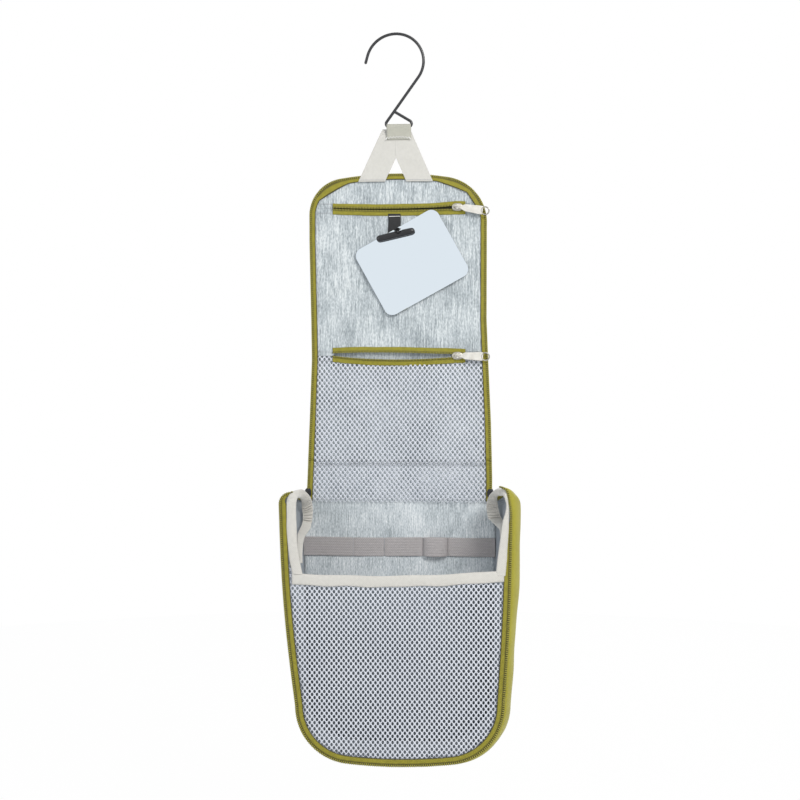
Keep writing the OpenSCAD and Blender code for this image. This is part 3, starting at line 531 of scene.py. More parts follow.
def ramp(tree, factor, stops):
    """A colour ramp over a factor: stops are (position, sRGB hex)."""
    node = add(tree, "ValToRGB", {"Fac": factor})
    while len(node.color_ramp.elements) < len(stops):
        node.color_ramp.elements.new(0.5)
    for element, (place, code) in zip(node.color_ramp.elements, stops):
        element.position = place
        element.color = rgb(code)
    return node.outputs["Color"]


def bump(tree, surface_node, height, strength, distance):
    """Bump of a height between 0 and 1 over a distance in metres."""
    node = add(tree, "Bump", {"Strength": strength, "Distance": distance, "Height": height})
    tree.links.new(node.outputs[0], surface_node.inputs["Normal"])


def coated_wire():
    """Steel wire dipped in black vinyl enamel: dark and smooth, with a tight sheen and faint orange peel."""
    looks = {"Roughness": 0.32, "IOR": 1.5, "Coat Weight": 0.25, "Coat Roughness": 0.2}
    material, tree, surface = finish("black_coated_steel_wire", **looks)
    where = add(tree, "TexCoord").outputs["Object"]
    n = add(tree, "TexNoise", {"Vector": where, "Scale": 900.0, "Detail": 3.0}).outputs[0]
    tree.links.new(ramp(tree, n, [(0.35, "15171a"), (0.7, "1f2125")]), surface.inputs["Base Color"])
    bump(tree, surface, n, 0.25, 0.0002)
    return material


def woven(name, dark, light, thread_u, thread_v, roughness, sheen, depth, blotch=0.25, relief=0.6):
    """Plain-woven cloth or ribbon on its own (u, v) in millimetres: warp and weft cross at the thread
    spacing.

    The height is 0.5 + 0.5 sin(pi u / thread_u) sin(pi v / thread_v), a checker of overs and unders."""
    looks = {"Roughness": roughness, "Sheen Weight": sheen, "Sheen Roughness": 0.45, "IOR": 1.46}
    material, tree, surface = finish(name, **looks)
    uv = add(tree, "UVMap").outputs[0]
    part = add(tree, "SeparateXYZ", {"Vector": uv})
    u = add(tree, "Math", {0: part.outputs[0], 1: math.pi / thread_u}, operation="MULTIPLY").outputs[0]
    v = add(tree, "Math", {0: part.outputs[1], 1: math.pi / thread_v}, operation="MULTIPLY").outputs[0]
    su = add(tree, "Math", {0: u}, operation="SINE").outputs[0]
    sv = add(tree, "Math", {0: v}, operation="SINE").outputs[0]
    cross = add(tree, "Math", {0: su, 1: sv}, operation="MULTIPLY").outputs[0]
    weave = add(tree, "Math", {0: cross, 1: 0.5, 2: 0.5}, operation="MULTIPLY_ADD").outputs[0]
    where = add(tree, "TexCoord").outputs["Object"]
    cloud = {"Vector": where, "Scale": 26.0, "Detail": 4.0, "Roughness": 0.55}
    soft = add(tree, "TexNoise", cloud).outputs[0]
    yarn = add(tree, "TexNoise", {"Vector": where, "Scale": 420.0, "Detail": 2.0}).outputs[0]
    mixed = add(tree, "Math", {0: soft, 1: blotch, 2: 0.5 - blotch / 2}, operation="MULTIPLY_ADD").outputs[0]
    grain = add(tree, "Math", {0: yarn, 1: 0.35, 2: mixed}, operation="MULTIPLY_ADD").outputs[0]
    thread = add(tree, "Math", {0: weave, 1: 0.3, 2: grain}, operation="MULTIPLY_ADD").outputs[0]
    level = add(tree, "Math", {0: thread, 1: 0.325}, operation="SUBTRACT").outputs[0]
    tree.links.new(ramp(tree, level, [(0.25, dark), (0.75, light)]), surface.inputs["Base Color"])
    bump(tree, surface, weave, relief, depth)
    return material


def melange_cloth(name, deep, dark, mid, light):
    """Melange polyester: undyed and dyed fibres spun together, so the warp shows as fine streaks along Z.

    Two noises stretched along the warp, for short slubs and for long, about 0.6 mm wide, over soft clouds:
    random tone, made strong enough to be painted shade for the broad shading of crumpled cloth as well."""
    material, tree, surface = finish(name, **{"Roughness": 0.8, "Sheen Weight": 0.1, "Sheen Roughness": 0.5})
    where = add(tree, "TexCoord").outputs["Object"]
    streaks = []
    for size, at in (((1650.0, 200.0, 420.0), 0.0), ((1450.0, 180.0, 75.0), 3.1)):
        place = add(tree, "Mapping", {"Vector": where, "Scale": size, "Location": (at, 0.4, 1.7)}).outputs[0]
        slub = {"Vector": place, "Scale": 1.0, "Detail": 1.0, "Roughness": 0.5}
        streaks.append(add(tree, "TexNoise", slub).outputs[0])
    both = add(tree, "Math", {0: streaks[0], 1: streaks[1]}, operation="ADD").outputs[0]
    # Soft clouds: random tone, and painted shade standing in for the broad shading of crumples
    cloud = add(tree, "TexNoise", {"Vector": where, "Scale": 30.0, "Detail": 2.0}).outputs[0]
    soft = add(tree, "Math", {0: cloud, 1: 0.34, 2: -0.17}, operation="MULTIPLY_ADD").outputs[0]
    level = add(tree, "Math", {0: both, 1: 0.5, 2: soft}, operation="MULTIPLY_ADD").outputs[0]
    base = ramp(tree, level, [(0.34, deep), (0.45, dark), (0.55, mid), (0.66, light)])
    tree.links.new(base, surface.inputs["Base Color"])
    bump(tree, surface, streaks[0], 0.25, 0.0002)
    return material


def zip_tape():
    """Woven polyester zip tape: a herringbone across u, with painted shade under the coil and along its
    turned-in edge."""
    looks = {"Roughness": 0.66, "Sheen Weight": 0.06, "Sheen Roughness": 0.4}
    material, tree, surface = finish("woven_polyester_zip_tape", **looks)
    part = add(tree, "SeparateXYZ", {"Vector": add(tree, "UVMap").outputs[0]})
    u, v = part.outputs[0], part.outputs[1]
    fold = add(tree, "Math", {0: u, 1: 0.9}, operation="PINGPONG").outputs[0]
    slant = add(tree, "Math", {0: v, 1: fold}, operation="ADD").outputs[0]
    turns = add(tree, "Math", {0: slant, 1: math.pi / 0.45}, operation="MULTIPLY").outputs[0]
    rib = add(tree, "Math", {0: turns}, operation="SINE").outputs[0]
    height = add(tree, "Math", {0: rib, 1: 0.5, 2: 0.5}, operation="MULTIPLY_ADD").outputs[0]
    where = add(tree, "TexCoord").outputs["Object"]
    noise = add(tree, "TexNoise", {"Vector": where, "Scale": 330.0, "Detail": 3.0}).outputs[0]
    # Painted shade: the ramp over u darkens the tape near the teeth and along its turned-in edge
    place = add(tree, "Math", {0: u, 1: 1 / 6.0}, operation="MULTIPLY").outputs[0]
    base = ramp(tree, place, [
        (0.0, "474210"), (0.24, "5d5716"), (0.38, "958d22"),
        (0.7, "968e22"), (0.77, "5e5816"), (0.83, "3c370e"),
    ])
    level = add(tree, "Math", {0: height, 1: 0.35, 2: 0.2}, operation="MULTIPLY_ADD").outputs[0]
    grain = add(tree, "Math", {0: noise, 1: 0.9, 2: level}, operation="MULTIPLY_ADD").outputs[0]
    tone = ramp(tree, grain, [(0.35, "c4c4c4"), (1.0, "ffffff")])
    mixed = add(tree, "Mix", {0: 1.0, 6: base, 7: tone}, data_type="RGBA", blend_type="MULTIPLY")
    tree.links.new(mixed.outputs[2], surface.inputs["Base Color"])
    bump(tree, surface, height, 0.5, 0.00018)
    return material


def plain(name, dark, light, roughness, scale, depth=0.0001, metallic=0.0, coat=0.0):
    """A moulded or cast surface: two close tones by fine noise, and the same noise as a slight bump."""
    looks = {"Roughness": roughness, "Metallic": metallic, "Coat Weight": coat, "Coat Roughness": 0.15}
    material, tree, surface = finish(name, **looks)
    where = add(tree, "TexCoord").outputs["Object"]
    n = add(tree, "TexNoise", {"Vector": where, "Scale": scale, "Detail": 3.0}).outputs[0]
    tree.links.new(ramp(tree, n, [(0.3, dark), (0.7, light)]), surface.inputs["Base Color"])
    bump(tree, surface, n, 0.3, depth)
    return material


# Steel wire dipped in black vinyl enamel
WIRE = coated_wire()
# Grosgrain-like ribbon: pale warm grey with fine ribs across, a soft satin sheen
RIBBON = woven("polyester_ribbon_webbing", "c3c1ba", "d6d4ce", 0.5, 0.8, 0.6, 0.2, 0.0001, relief=0.3)
# The ribbon's other face, which the folded loop turns outward: greyer and flatter
RIBBON_REVERSE = woven("polyester_ribbon_reverse", "a8a79b", "bebdb1", 0.5, 0.8, 0.66, 0.05, 0.0001,
                       relief=0.3)
# Dyed plain-woven polyester, calendered smooth: olive with a slight satin sheen along folds
OLIVE = woven("olive_woven_polyester", "968e20", "b0a93a", 0.6, 0.6, 0.56, 0.08, 0.00008,
              blotch=0.4, relief=0.35)
# Zip tape: a tight herringbone that reads as a flat, slightly darker olive band, with painted shade along
# both its edges
ZIP_TAPE = zip_tape()
# Painted shade: a nearly black olive strip behind the upper pocket zip, standing in for the shade inside the
# pocket's mouth
SHADE_TAPE = plain("shaded_olive_tape", "25240f", "33321a", 0.8, 700.0)
# Nylon monofilament coil: satin olive plastic, lighter where the bend of each tooth catches light
COIL = plain("nylon_zip_coil", "8b8428", "a8a144", 0.4, 500.0)
# Twisted filler cord in the coil: a dark olive line between the teeth, its darkness also painted shade for
# the gaps between them
FILLER_AND_SHADE = plain("zip_filler_cord_painted_shade", "423e14", "544f1e", 0.8, 900.0)
# Melange polyester: pale blue grey, streaked down the warp where dyed and undyed fibres lie side by side
LINING = melange_cloth("melange_polyester_lining", "8b9397", "a9b1b5", "c0c7ca", "dbe0e1")
# The same cloth on the back, painted paler to make up for the shade that falls on it: painted light
BACK_LINING_LIT = melange_cloth("melange_polyester_back_lining_painted_light", "98a0a4", "bac2c6", "d2d8db", "eef1f2")
# Coated nylon inside the compartment: smooth mid grey, blue in the shade
INNER = woven("coated_nylon_lining", "8a9198", "a5abb2", 0.8, 0.8, 0.6, 0.1, 0.0001)
# Painted shade: a dark, smooth and dull panel behind the net, darker than the lining, standing in for the
# shade inside the compartment
NET_BACKING_SHADE = woven("net_backing_painted_shade", "5f666d", "787f86", 0.8, 0.8, 0.55, 0.1, 0.0001)
# Warp-knitted net of bright polyester: pale lavender-grey threads with a soft shine
NET = woven("warp_knitted_net", "c6cad4", "e2e5ec", 0.5, 0.5, 0.55, 0.3, 0.00012)
# Folded binding tape: pale warm grey plain weave
BINDING = woven("plain_weave_binding", "c4c1ba", "dcd9d2", 0.75, 0.75, 0.68, 0.1, 0.00015)
# The same tape where it is gathered over elastic: blotchy, and painted a little lighter for the light its
# proud folds catch
GATHERED_LIT = woven("gathered_binding_painted_light", "c3c0b9", "e5e1da", 0.75, 0.75, 0.74, 0.05, 0.0002, blotch=0.6)
# Knitted elastic: mauve grey, its ribs are in the shape
ELASTIC = woven("ribbed_knitted_elastic", "9c9796", "bcb7b7", 0.9, 1.2, 0.7, 0.1, 0.00015)
# Spun polyester sewing thread: soft and white, and in grey and olive where it should not show
THREAD = plain("polyester_sewing_thread", "e6e5e2", "fafaf8", 0.7, 1500.0)
GREY_THREAD = plain("grey_sewing_thread", "a9abae", "c2c4c7", 0.7, 1500.0)
OLIVE_THREAD = plain("olive_sewing_thread", "8a8331", "a19a45", 0.7, 1500.0)
# Black nylon webbing: dense and dull, near black
BLACK_WEBBING = woven("black_nylon_webbing", "0e0f11", "1b1d20", 0.7, 1.0, 0.6, 0.06, 0.00015)
# Injection-moulded ABS: near black, a broad soft shine
BLACK_ABS = plain("black_moulded_abs", "131518", "1c1e22", 0.22, 350.0, 0.0001)
# Cream enamel over cast zinc: warm white gloss with a clear coat
CREAM = plain("cream_enamelled_zinc", "cfcbc2", "e2dfd8", 0.3, 260.0, 0.00008, coat=0.3)
# Cast zinc slider body: warm silver, a little dull
SLIDER = plain("cast_zinc_slider", "a6a298", "c4c0b6", 0.34, 500.0, 0.0001, metallic=0.6)
# Nickel-plated steel wire: warm grey metal with a soft gloss
NICKEL = plain("nickel_plated_wire", "8f8c84", "aaa79f", 0.3, 500.0, metallic=0.4)
# Black nickel plating on zinc: dark metal with a soft gloss
DARK_METAL = plain("black_nickel_zinc", "2b2c2f", "3c3d41", 0.34, 400.0, 0.0001, metallic=0.7)


def silvered_acrylic():
    """Silvered acrylic sheet: a clean cool mirror, barely frosted by handling."""
    looks = {"Base Color": rgb("dde7ef"), "Metallic": 1.0, "Roughness": 0.06}
    material, tree, surface = finish("silvered_acrylic_mirror", **looks)
    where = add(tree, "TexCoord").outputs["Object"]
    n = add(tree, "TexNoise", {"Vector": where, "Scale": 60.0, "Detail": 5.0}).outputs[0]
    level = add(tree, "Math", {0: n, 1: 0.05, 2: 0.04}, operation="MULTIPLY_ADD").outputs[0]
    tree.links.new(level, surface.inputs["Roughness"])
    return material


MIRROR = silvered_acrylic()


# ---------------------------------------------------------------- hook and strap


def arc_points(centre, r, start, end, n):
    """Points on an arc of radius r from angle start to angle end, in degrees."""
    a = np.radians(np.linspace(start, end, n))
    return np.stack([centre[0] + r * np.cos(a), centre[1] + r * np.sin(a)], axis=1)


def hook_line():
    """The wire's centre line: tip, main arc, shank, foot bend, bar, second bend and the arm to the shank."""
    tip_r = HOOK_ARC_R + 1.9
    tip_centre = np.array([0, WIRE_D / 2 - tip_r])
    lean = math.degrees(SHANK_ANGLE)
    tip = arc_points(tip_centre, tip_r, 165, 90, 34)
    tip_end = tip[0] - 6 * np.array([math.cos(math.radians(75)), math.sin(math.radians(75))])
    arm_dir = np.array([-math.sin(CLOSING_ANGLE), math.cos(CLOSING_ANGLE)])
    arm_start = RIGHT_BEND + FOOT_BEND_R * np.array([math.cos(CLOSING_ANGLE), math.sin(CLOSING_ANGLE)])
    gap = SHANK_FOOT - arm_start
    cross = arm_dir[0] * SHANK_DIR[1] - arm_dir[1] * SHANK_DIR[0]
    reach = (gap[0] * SHANK_DIR[1] - gap[1] * SHANK_DIR[0]) / cross
    arm_end = arm_start + (reach - WIRE_D / 2 + 0.2) * arm_dir
    line = np.concatenate([
        [tip_end], tip[:-1], arc_points((0, ARC_Z), HOOK_ARC_R, 90, -lean, 60),
        SHANK_TOP + np.linspace(0.1, 0.97, 12)[:, None] * (SHANK_FOOT - SHANK_TOP),
        arc_points(LEFT_BEND, FOOT_BEND_R, 180 - lean, 270, 16),
        LEFT_BEND + [0, -FOOT_BEND_R] + np.linspace(0.08, 0.92, 8)[:, None] * (RIGHT_BEND - LEFT_BEND),
        arc_points(RIGHT_BEND, FOOT_BEND_R, -90, math.degrees(CLOSING_ANGLE), 16),
        arm_start + np.linspace(0.15, 1, 8)[:, None] * (arm_end - arm_start),
    ])
    return at_depth(line, 0.0)


wire = tube_parts(hook_line(), WIRE_D / 2, 20)
hook = write_mesh("coated_wire_hook", *wire, WIRE, "hook", offset=(0, 0, 0))
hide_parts("hook_wire")


def stitches(line, pitch, length, thread, lift):
    """A row of stitches along a 3-D line: short round threads, one every pitch, each bowed towards lift."""
    marks = resample(line, step=pitch)
    along = np.gradient(marks, axis=0)
    along /= np.linalg.norm(along, axis=1, keepdims=True)
    t = np.linspace(-0.5, 0.5, 4)
    bow = np.stack([t * length, 0 * t, thread * 0.5 * np.cos(np.pi * t)], axis=1)
    unit = tube_parts(bow, thread / 2, 5)
    up = np.broadcast_to(np.asarray(lift, float), along.shape)
    side = np.cross(up, along)
    side /= np.linalg.norm(side, axis=1, keepdims=True)
    up = np.cross(along, side)
    turns = np.stack([along, side, up], axis=2)
    return copies(unit, marks[:-1] + np.diff(marks, axis=0) / 2, turns[:-1])


def ribbon_loop():
    """The ribbon folded over the bar: straight front ply, round over the bar, straight back ply."""
    r = WIRE_D / 2 + 0.3 + 0.45
    over = arc_points((0, 0), r, 197, -17, 22)
    front = [[-0.98, -LOOP_DROP], [-0.98, -8.5], [-1.0, -6.2]]
    back = [[1.0, -6.2], [0.98, -8.5], [0.98, -LOOP_DROP]]
    line = resample(np.concatenate([front, over, back]), count=44)
    x = np.linspace(-STRAP_W / 2, STRAP_W / 2, 15)
    curl = 0.12 * (np.abs(x) / (STRAP_W / 2)) ** 6
    grid = np.empty((15, 44, 3))
    grid[..., 0] = x[:, None]
    grid[..., 1] = line[None, :, 0] * (1 + curl[:, None] * 0.5)
    grid[..., 2] = BAR_Z + line[None, :, 1]
    return grid


loop = cloth("ribbon_loop", ribbon_loop(), 0.9, RIBBON_REVERSE, "strap")
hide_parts("strap_loop")
zigzag = np.array([
    [x, -2.0, BAR_Z - LOOP_DROP + 1.3 + (1.7 if k % 2 else 0.0) - 1.2 * (2 * x / STRAP_W) ** 2]
    for k, x in enumerate(np.linspace(-STRAP_W / 2 - 0.6, STRAP_W / 2 - 0.4, 17))
])
bartack = write_mesh("zigzag_bartack", *tube_parts(zigzag, 0.42, 6), THREAD, "strap")
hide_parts("strap_bartack")

SIDE_WORD = {-1: "left", 1: "right"}
TO_FRONT = (0, -1, 0)
LEG_TOP = BAR_Z - 1.8
LEG_FOOT_Z = LID_END + 1


def leg_edges(side, z):
    """The inner and outer edge of a leg at height z: straight lines from its foot to its top."""
    t = (z - LEG_FOOT_Z) / (LEG_TOP - LEG_FOOT_Z)
    middle = LEG_FOOT[side] + (LEG_APEX[side] - LEG_FOOT[side]) * t
    half = STRAP_W / 2 / math.cos(math.atan((LEG_FOOT[side] - LEG_APEX[side]) / (LEG_TOP - LEG_FOOT_Z)))
    return middle - side * half, middle + side * half


def strap_leg(side):
    """One leg: a straight ribbon from behind the loop down to its sewn end on the lid, faintly cupped across.

    The two legs lap by 1.2 mm where they meet, the right one in front."""
    z = np.linspace(LEG_TOP, LID_END - ANCHOR_LENGTH, 44)
    inner, outer = leg_edges(side, z)
    high = leg_edges(-1, LEG_TOP)[0] - leg_edges(1, LEG_TOP)[0]
    low = leg_edges(1, LEG_FOOT_Z)[0] - leg_edges(-1, LEG_FOOT_Z)[0]
    cross_z = LEG_TOP + (LEG_FOOT_Z - LEG_TOP) * high / (high + low)
    cross_x = leg_edges(-1, cross_z)[0]
    inner = np.maximum(inner, cross_x - 0.6) if side > 0 else np.minimum(inner, cross_x + 0.6)
    u = np.array([0, 0.015, 0.1, 0.22, 0.36, 0.5, 0.64, 0.78, 0.9, 0.985, 1])[:, None]
    grid = np.empty((11, 44, 3))
    a, b = (inner, outer) if side > 0 else (outer, inner)
    grid[..., 0] = a + (b - a) * u
    free = smoothstep(z, LID_END - 2, LID_END + 8) * (1 - smoothstep(z, BAR_Z - 18, BAR_Z - 10))
    lone = 1 - smoothstep(z, cross_z - 6, cross_z - 1)
    grid[..., 1] = (0.2 * np.sin(np.pi * u) + 0.2 * np.sin(2.6 * u + side)) * free * lone - 0.03 * side
    grid[..., 1] += 1.95 * smoothstep(z, BAR_Z - 9, BAR_Z - 3)
    grid[..., 2] = z
    uv = np.stack([grid[..., 0] * 0 + u * STRAP_W, grid[..., 2] - LEG_TOP], axis=2)
    return cloth(f"{SIDE_WORD[side]}_ribbon_leg", grid[:, ::-1], 0.9, RIBBON, None, uv[:, ::-1])


for side, word in SIDE_WORD.items():
    leg = strap_leg(side)
    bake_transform(leg)
    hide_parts(f"strap_{word}_leg", f"strap_{word}_anchor")
    seam_z = LID_END - ANCHOR_LENGTH + 1.6
    seam = leg_edges(side, seam_z)
    seam_line = np.array([[min(seam) + 0.8, -0.5, seam_z], [max(seam) - 0.8, -0.5, seam_z]])
    tack = stitches(seam_line, 2.2, 1.7, 0.35, TO_FRONT)
    write_mesh(f"{word}_ribbon_stitches", *tack, GREY_THREAD, "lid_cover")

# ---------------------------------------------------------------- lid and back cloth


def off_seam(flat):
    """0 at the height where the lid's and the back's cloths are joined, rising to 1 over 22 mm either way."""
    return smoothstep(np.abs(flat[..., 1] - MID_TOP), 1, 22)


def outer_lid():
    """Outer cloth of the lid: flat at the back, rolled forward round its edge in a quarter ellipse 5 mm
    wide."""
    flat = lid_patch(0.25, MID_TOP - 1.0, 61, 89)
    edge = distance_to(flat, lid_ring(0.25, MID_TOP - 1.0))
    roll = np.sqrt(1 - (1 - np.clip(edge / 5.0, 0, 1)) ** 2)
    slack = waves(flat[..., 0], flat[..., 1], 3, 70, 0.35) * smoothstep(edge, 3, 20) * off_seam(flat)
    return at_depth(flat, 2.3 + (5.1 - 2.3) * roll + slack)


# How many points the back's outline has round its ear, down its side, round its corner and along its end
BACK_SIZES = {"ear_n": 4, "side_n": 30, "corner_n": 40, "end_n": 30}


def back_side(z, side):
    """How far the back's left or right edge is from the middle: a soft step from the bag's to the lid's."""
    ring = bag_side(1.0, 0.0, 1, **BACK_SIZES)[BACK_SIZES["ear_n"]:]
    below = np.interp(-z, -ring[:, 1], ring[:, 0])
    share = smoothstep(z, BAG_FOLD - 2.5, BAG_FOLD + 1.0)
    return lid_side(z, side) * share + below * (1 - share)


def back_patch(d, nu, nv_top, nv_low):
    """An even grid from the middle of the lid's top part down to the bottom of the back.

    Above the corners each row is a straight line across; the corner rows come from a Coons patch."""
    ring = bag_side(1.0, d, 1, **BACK_SIZES)
    start = BACK_SIZES["ear_n"] + BACK_SIZES["side_n"]
    turn = start + BACK_SIZES["corner_n"] // 2
    z = np.concatenate([
        np.linspace(MID_TOP, BAG_FOLD + 6, nv_top)[:-1], np.linspace(BAG_FOLD + 6, BAG_FOLD - 6, 25)[:-1],
        np.linspace(BAG_FOLD - 6, ring[start, 1], nv_low),
    ])
    left, right = d - back_side(z, -1), back_side(z, 1) - d
    u = np.linspace(0, 1, nu)
    upper = np.stack([left + (right - left) * u[:, None], np.broadcast_to(z, (nu, len(z)))], axis=2)
    side = resample(ring[start : turn + 1], count=16)
    bottom = np.concatenate([ring[turn:] * [-1, 1], ring[-2 : turn - 1 : -1]])
    bottom = resample(bottom, count=nu)
    top = np.linspace(ring[start] * [-1, 1], ring[start], nu)
    low = coons(top, bottom, side * [-1, 1], side)
    return np.concatenate([upper, low[:, 1:]], axis=1)[:, ::-1]


lid_cloth = cloth("outer_lid_cloth", outer_lid(), 0.7, OLIVE)
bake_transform(lid_cloth)
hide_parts("lid_cover_shell", "lid_top_shell")

flat = back_patch(0.25, 61, 14, 52)
z = flat[..., 1]
side_edge = np.minimum(back_side(z, 1) - flat[..., 0], back_side(z, -1) + flat[..., 0])
ring = bag_side(1.0, 0.25, 1, **BACK_SIZES)[BACK_SIZES["ear_n"]:]
low_edge = distance_to(flat, np.concatenate([ring * [-1, 1], ring[-2::-1]]))
edge = np.where(z > BAG_FOLD - 4, side_edge, np.minimum(side_edge, low_edge))
roll = np.sqrt(1 - (1 - np.clip(edge / 5.0, 0, 1)) ** 2)
lid_part = smoothstep(z, BAG_FOLD - 3, BAG_FOLD + 3)
y = 2.3 + 2.8 * roll
y = y * lid_part + (4.75 + 0.35 * roll) * (1 - lid_part)
slack = waves(flat[..., 0], z, 5, 80, 0.45) * smoothstep(edge, 3, 20) + 0.3 * smoothstep(edge, 3, 30)
y = y + slack * off_seam(flat)
back_cloth = cloth("outer_back_cloth", at_depth(flat, y), 0.7, OLIVE)
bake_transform(back_cloth)
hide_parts("back_panel")


def lining_lid():
    """Lining behind the lid's pockets: the lid's outline inset past the teeth, flat and slightly slack."""
    flat = lid_patch(COIL_W + 0.4, MID_TOP - 1.5, 45, 70)
    return at_depth(flat, LINING_Y + waves(flat[..., 0], flat[..., 1], 11, 60, 0.22) * off_seam(flat))


lid_lining = cloth("lid_lining_cloth", lining_lid(), 0.5, LINING)
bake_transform(lid_lining)
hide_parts("lid_cover_lining", "lid_top_lining")

flat = back_patch(1.4, 51, 12, 46)
fold_line = np.array([[-85.0, BAG_FOLD], [85.0, BAG_FOLD]])
slack = waves(flat[..., 0], flat[..., 1], 13, 46, 0.34) * smoothstep(distance_to(flat, fold_line), 2, 14)
y = LINING_Y + slack * off_seam(flat)
for at_x, at_z, turn, long, wide, deep in BACK_CREASES:
    y = y + crease(flat, (at_x, BAG_FOLD + at_z), turn, long, wide, deep)
y = np.clip(y, 2.9, 4.3)
# The back lining takes the paler copy of the lining: painted light against the shade behind the lid and net
back_lining = cloth("back_lining_cloth", at_depth(flat, y), 0.5, BACK_LINING_LIT)
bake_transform(back_lining)
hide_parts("back_lining")

# ---------------------------------------------------------------- pockets on the lid


# A parted zip is widest at LENS_MIDDLE, and closed again from LENS_X on, by its slider
LENS_MIDDLE = -4.0
LENS_X = 50.0


def zip_bow(x):
    """How far a zip parts along x, as a share: (1 - t^2)^0.8 between its left end and its slider, with t
    measured from its widest place."""
    from_middle = x - LENS_MIDDLE
    reach = np.where(from_middle < 0, ZIP_HALF + LENS_MIDDLE + 1, LENS_X - LENS_MIDDLE)
    t = from_middle / reach
    return np.clip(1 - t * t, 0, 1) ** 0.8


# Each zip: its middle's height, then for its upper and its lower edge the left end, the right end and the bow
OPENINGS = {
    "upper": (UPPER_ZIP, (0.5, 1.0, -1.5), (-0.45, -0.9, -1.6)),
    "lower": (LOWER_ZIP, (2.3, 0.8, 1.3), (0.6, -0.3, -3.4)),
}


def zip_edges(which, x):
    """Heights of a zip's upper and lower edge along x: a straight line between its ends and the bow's
    share."""
    z, *edges = OPENINGS[which]
    t = (x + ZIP_HALF) / (2 * ZIP_HALF)
    return [z + left + (right - left) * t + bow * zip_bow(x) for left, right, bow in edges]


def panel_edge(which, x, upper):
    """Where the cloth stops behind a zip's tape: at its middle line beyond its ends, at mid-tape inside."""
    z = OPENINGS[which][0]
    hi, lo = zip_edges(which, np.clip(x, -ZIP_HALF, ZIP_HALF))
    inside = 1 - smoothstep(np.abs(x), ZIP_HALF - 3, ZIP_HALF - 0.5)
    return z + (hi + 2.4 - z) * inside if upper else z + (lo - 2.4 - z) * inside


def crown_panel():
    """Cloth above the upper zip: each column runs from the zip's line up to the lid's crowned outline."""
    d = COIL_W + 0.3
    u = np.linspace(0, 1, 67)[:, None]
    v = np.linspace(0, 1, 24)[None]
    ring = lid_ring(d, LID_END - 60, corner_n=60)
    x = -lid_reach(UPPER_ZIP, -1, d) * (1 - u) + lid_reach(UPPER_ZIP, 1, d) * u
    top = np.interp(x, ring[:, 0], ring[:, 1])
    base = panel_edge("upper", x, True)
    top = np.maximum(top, base + 0.3)
    return np.stack([x + 0 * v, base + (top - base) * v], axis=2)


def pocket_slack(flat, seed, out, deep, creases):
    """How far a flat pocket's cloth stands off its plane: soft waves and creases, held between out and
    deep."""
    x, z = flat[..., 0], flat[..., 1]
    w = waves(x, z, seed, 58, 0.5, stretch=(1.0, 0.7)) + waves(x, z, seed + 1, 24, 0.13)
    for at_x, at_z, turn, long, wide, how_deep in creases:
        w = w + crease(flat, (at_x, LID_END - at_z), turn, long, wide, how_deep)
    return np.clip(w, -out, deep)


flat = crown_panel()
inset = np.minimum(distance_to(flat, lid_ring(COIL_W, UPPER_ZIP)), flat[..., 1] - UPPER_ZIP - 3)
y = PANEL_Y + pocket_slack(flat, 21, 0.7, 1.5, CROWN_CREASES) * smoothstep(inset, 1, 10)
crown = cloth("crown_panel_cloth", at_depth(flat, y), 0.5, LINING, "lid_cover")
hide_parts("lid_crown_panel")

u = np.linspace(0, 1, 111)
hems = []
for which, upper in (("lower", True), ("upper", False)):
    height = OPENINGS[which][0]
    left, right = COIL_W + 0.3 - lid_side(height, -1), lid_side(height, 1) - COIL_W - 0.3
    x = left + (right - left) * u
    hems.append(np.stack([x, panel_edge(which, x, upper)], axis=1)[:, None])
flat = hems[0] + (hems[1] - hems[0]) * np.linspace(0, 1, 121)[None, :, None]
left_reach, right_reach = (lid_reach(flat[..., 1], side, COIL_W + 0.3) for side in (-1, 1))
flat[..., 0] = np.clip(flat[..., 0], -left_reach, right_reach)
from_zips = np.minimum(flat[..., 1] - LOWER_ZIP, UPPER_ZIP - flat[..., 1])
inset = np.minimum(LID_W / 2 - 3 - np.abs(flat[..., 0]), from_zips - 4)
y = PANEL_Y + pocket_slack(flat, 31, 0.85, 1.6, POCKET_CREASES) * smoothstep(inset, 1, 14)
pocket = cloth("upper_pocket_cloth", at_depth(flat, y), 0.5, LINING, "lid_cover")
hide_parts("upper_pocket_panel")

for height, word in ((UPPER_ZIP, "upper"), (LOWER_ZIP, "lower")):
    rows = []
    for side in (-1, 1):
        for dz in (3.6, -4.2):
            reach = lid_reach(height + dz, side, BORDER) - 0.6
            ends = np.array([
                [side * (ZIP_HALF + 0.4), 0.95, height + dz], [side * reach, 0.95, height + dz * 1.1],
            ])
            rows.append(stitches(ends, 2.1, 1.55, 0.34, TO_FRONT))
    seam = write_mesh(f"{word}_zip_end_stitches", *joined(rows), GREY_THREAD, "lid_cover")

# ---------------------------------------------------------------- knitted net

# The net's diamonds, how much of one its hole takes up across and down, and how thick its threads are
NET_X = 4.15
NET_Z = 5.3
NET_HOLE = (0.56, 0.6)
NET_THREAD = 0.42


def inside_loop(points, loop):
    """True where a 2-D point is inside a closed loop, by counting the edges that a level ray crosses."""
    a, b = loop, np.roll(loop, -1, 0)
    px, pz = points[:, 0][:, None], points[:, 1][:, None]
    hit = (a[:, 1] > pz) != (b[:, 1] > pz)
    with np.errstate(divide="ignore", invalid="ignore"):
        at = a[:, 0] + (pz - a[:, 1]) / (b[:, 1] - a[:, 1]) * (b[:, 0] - a[:, 0])
    return (np.sum(hit & (px < at), axis=1) % 2) == 1


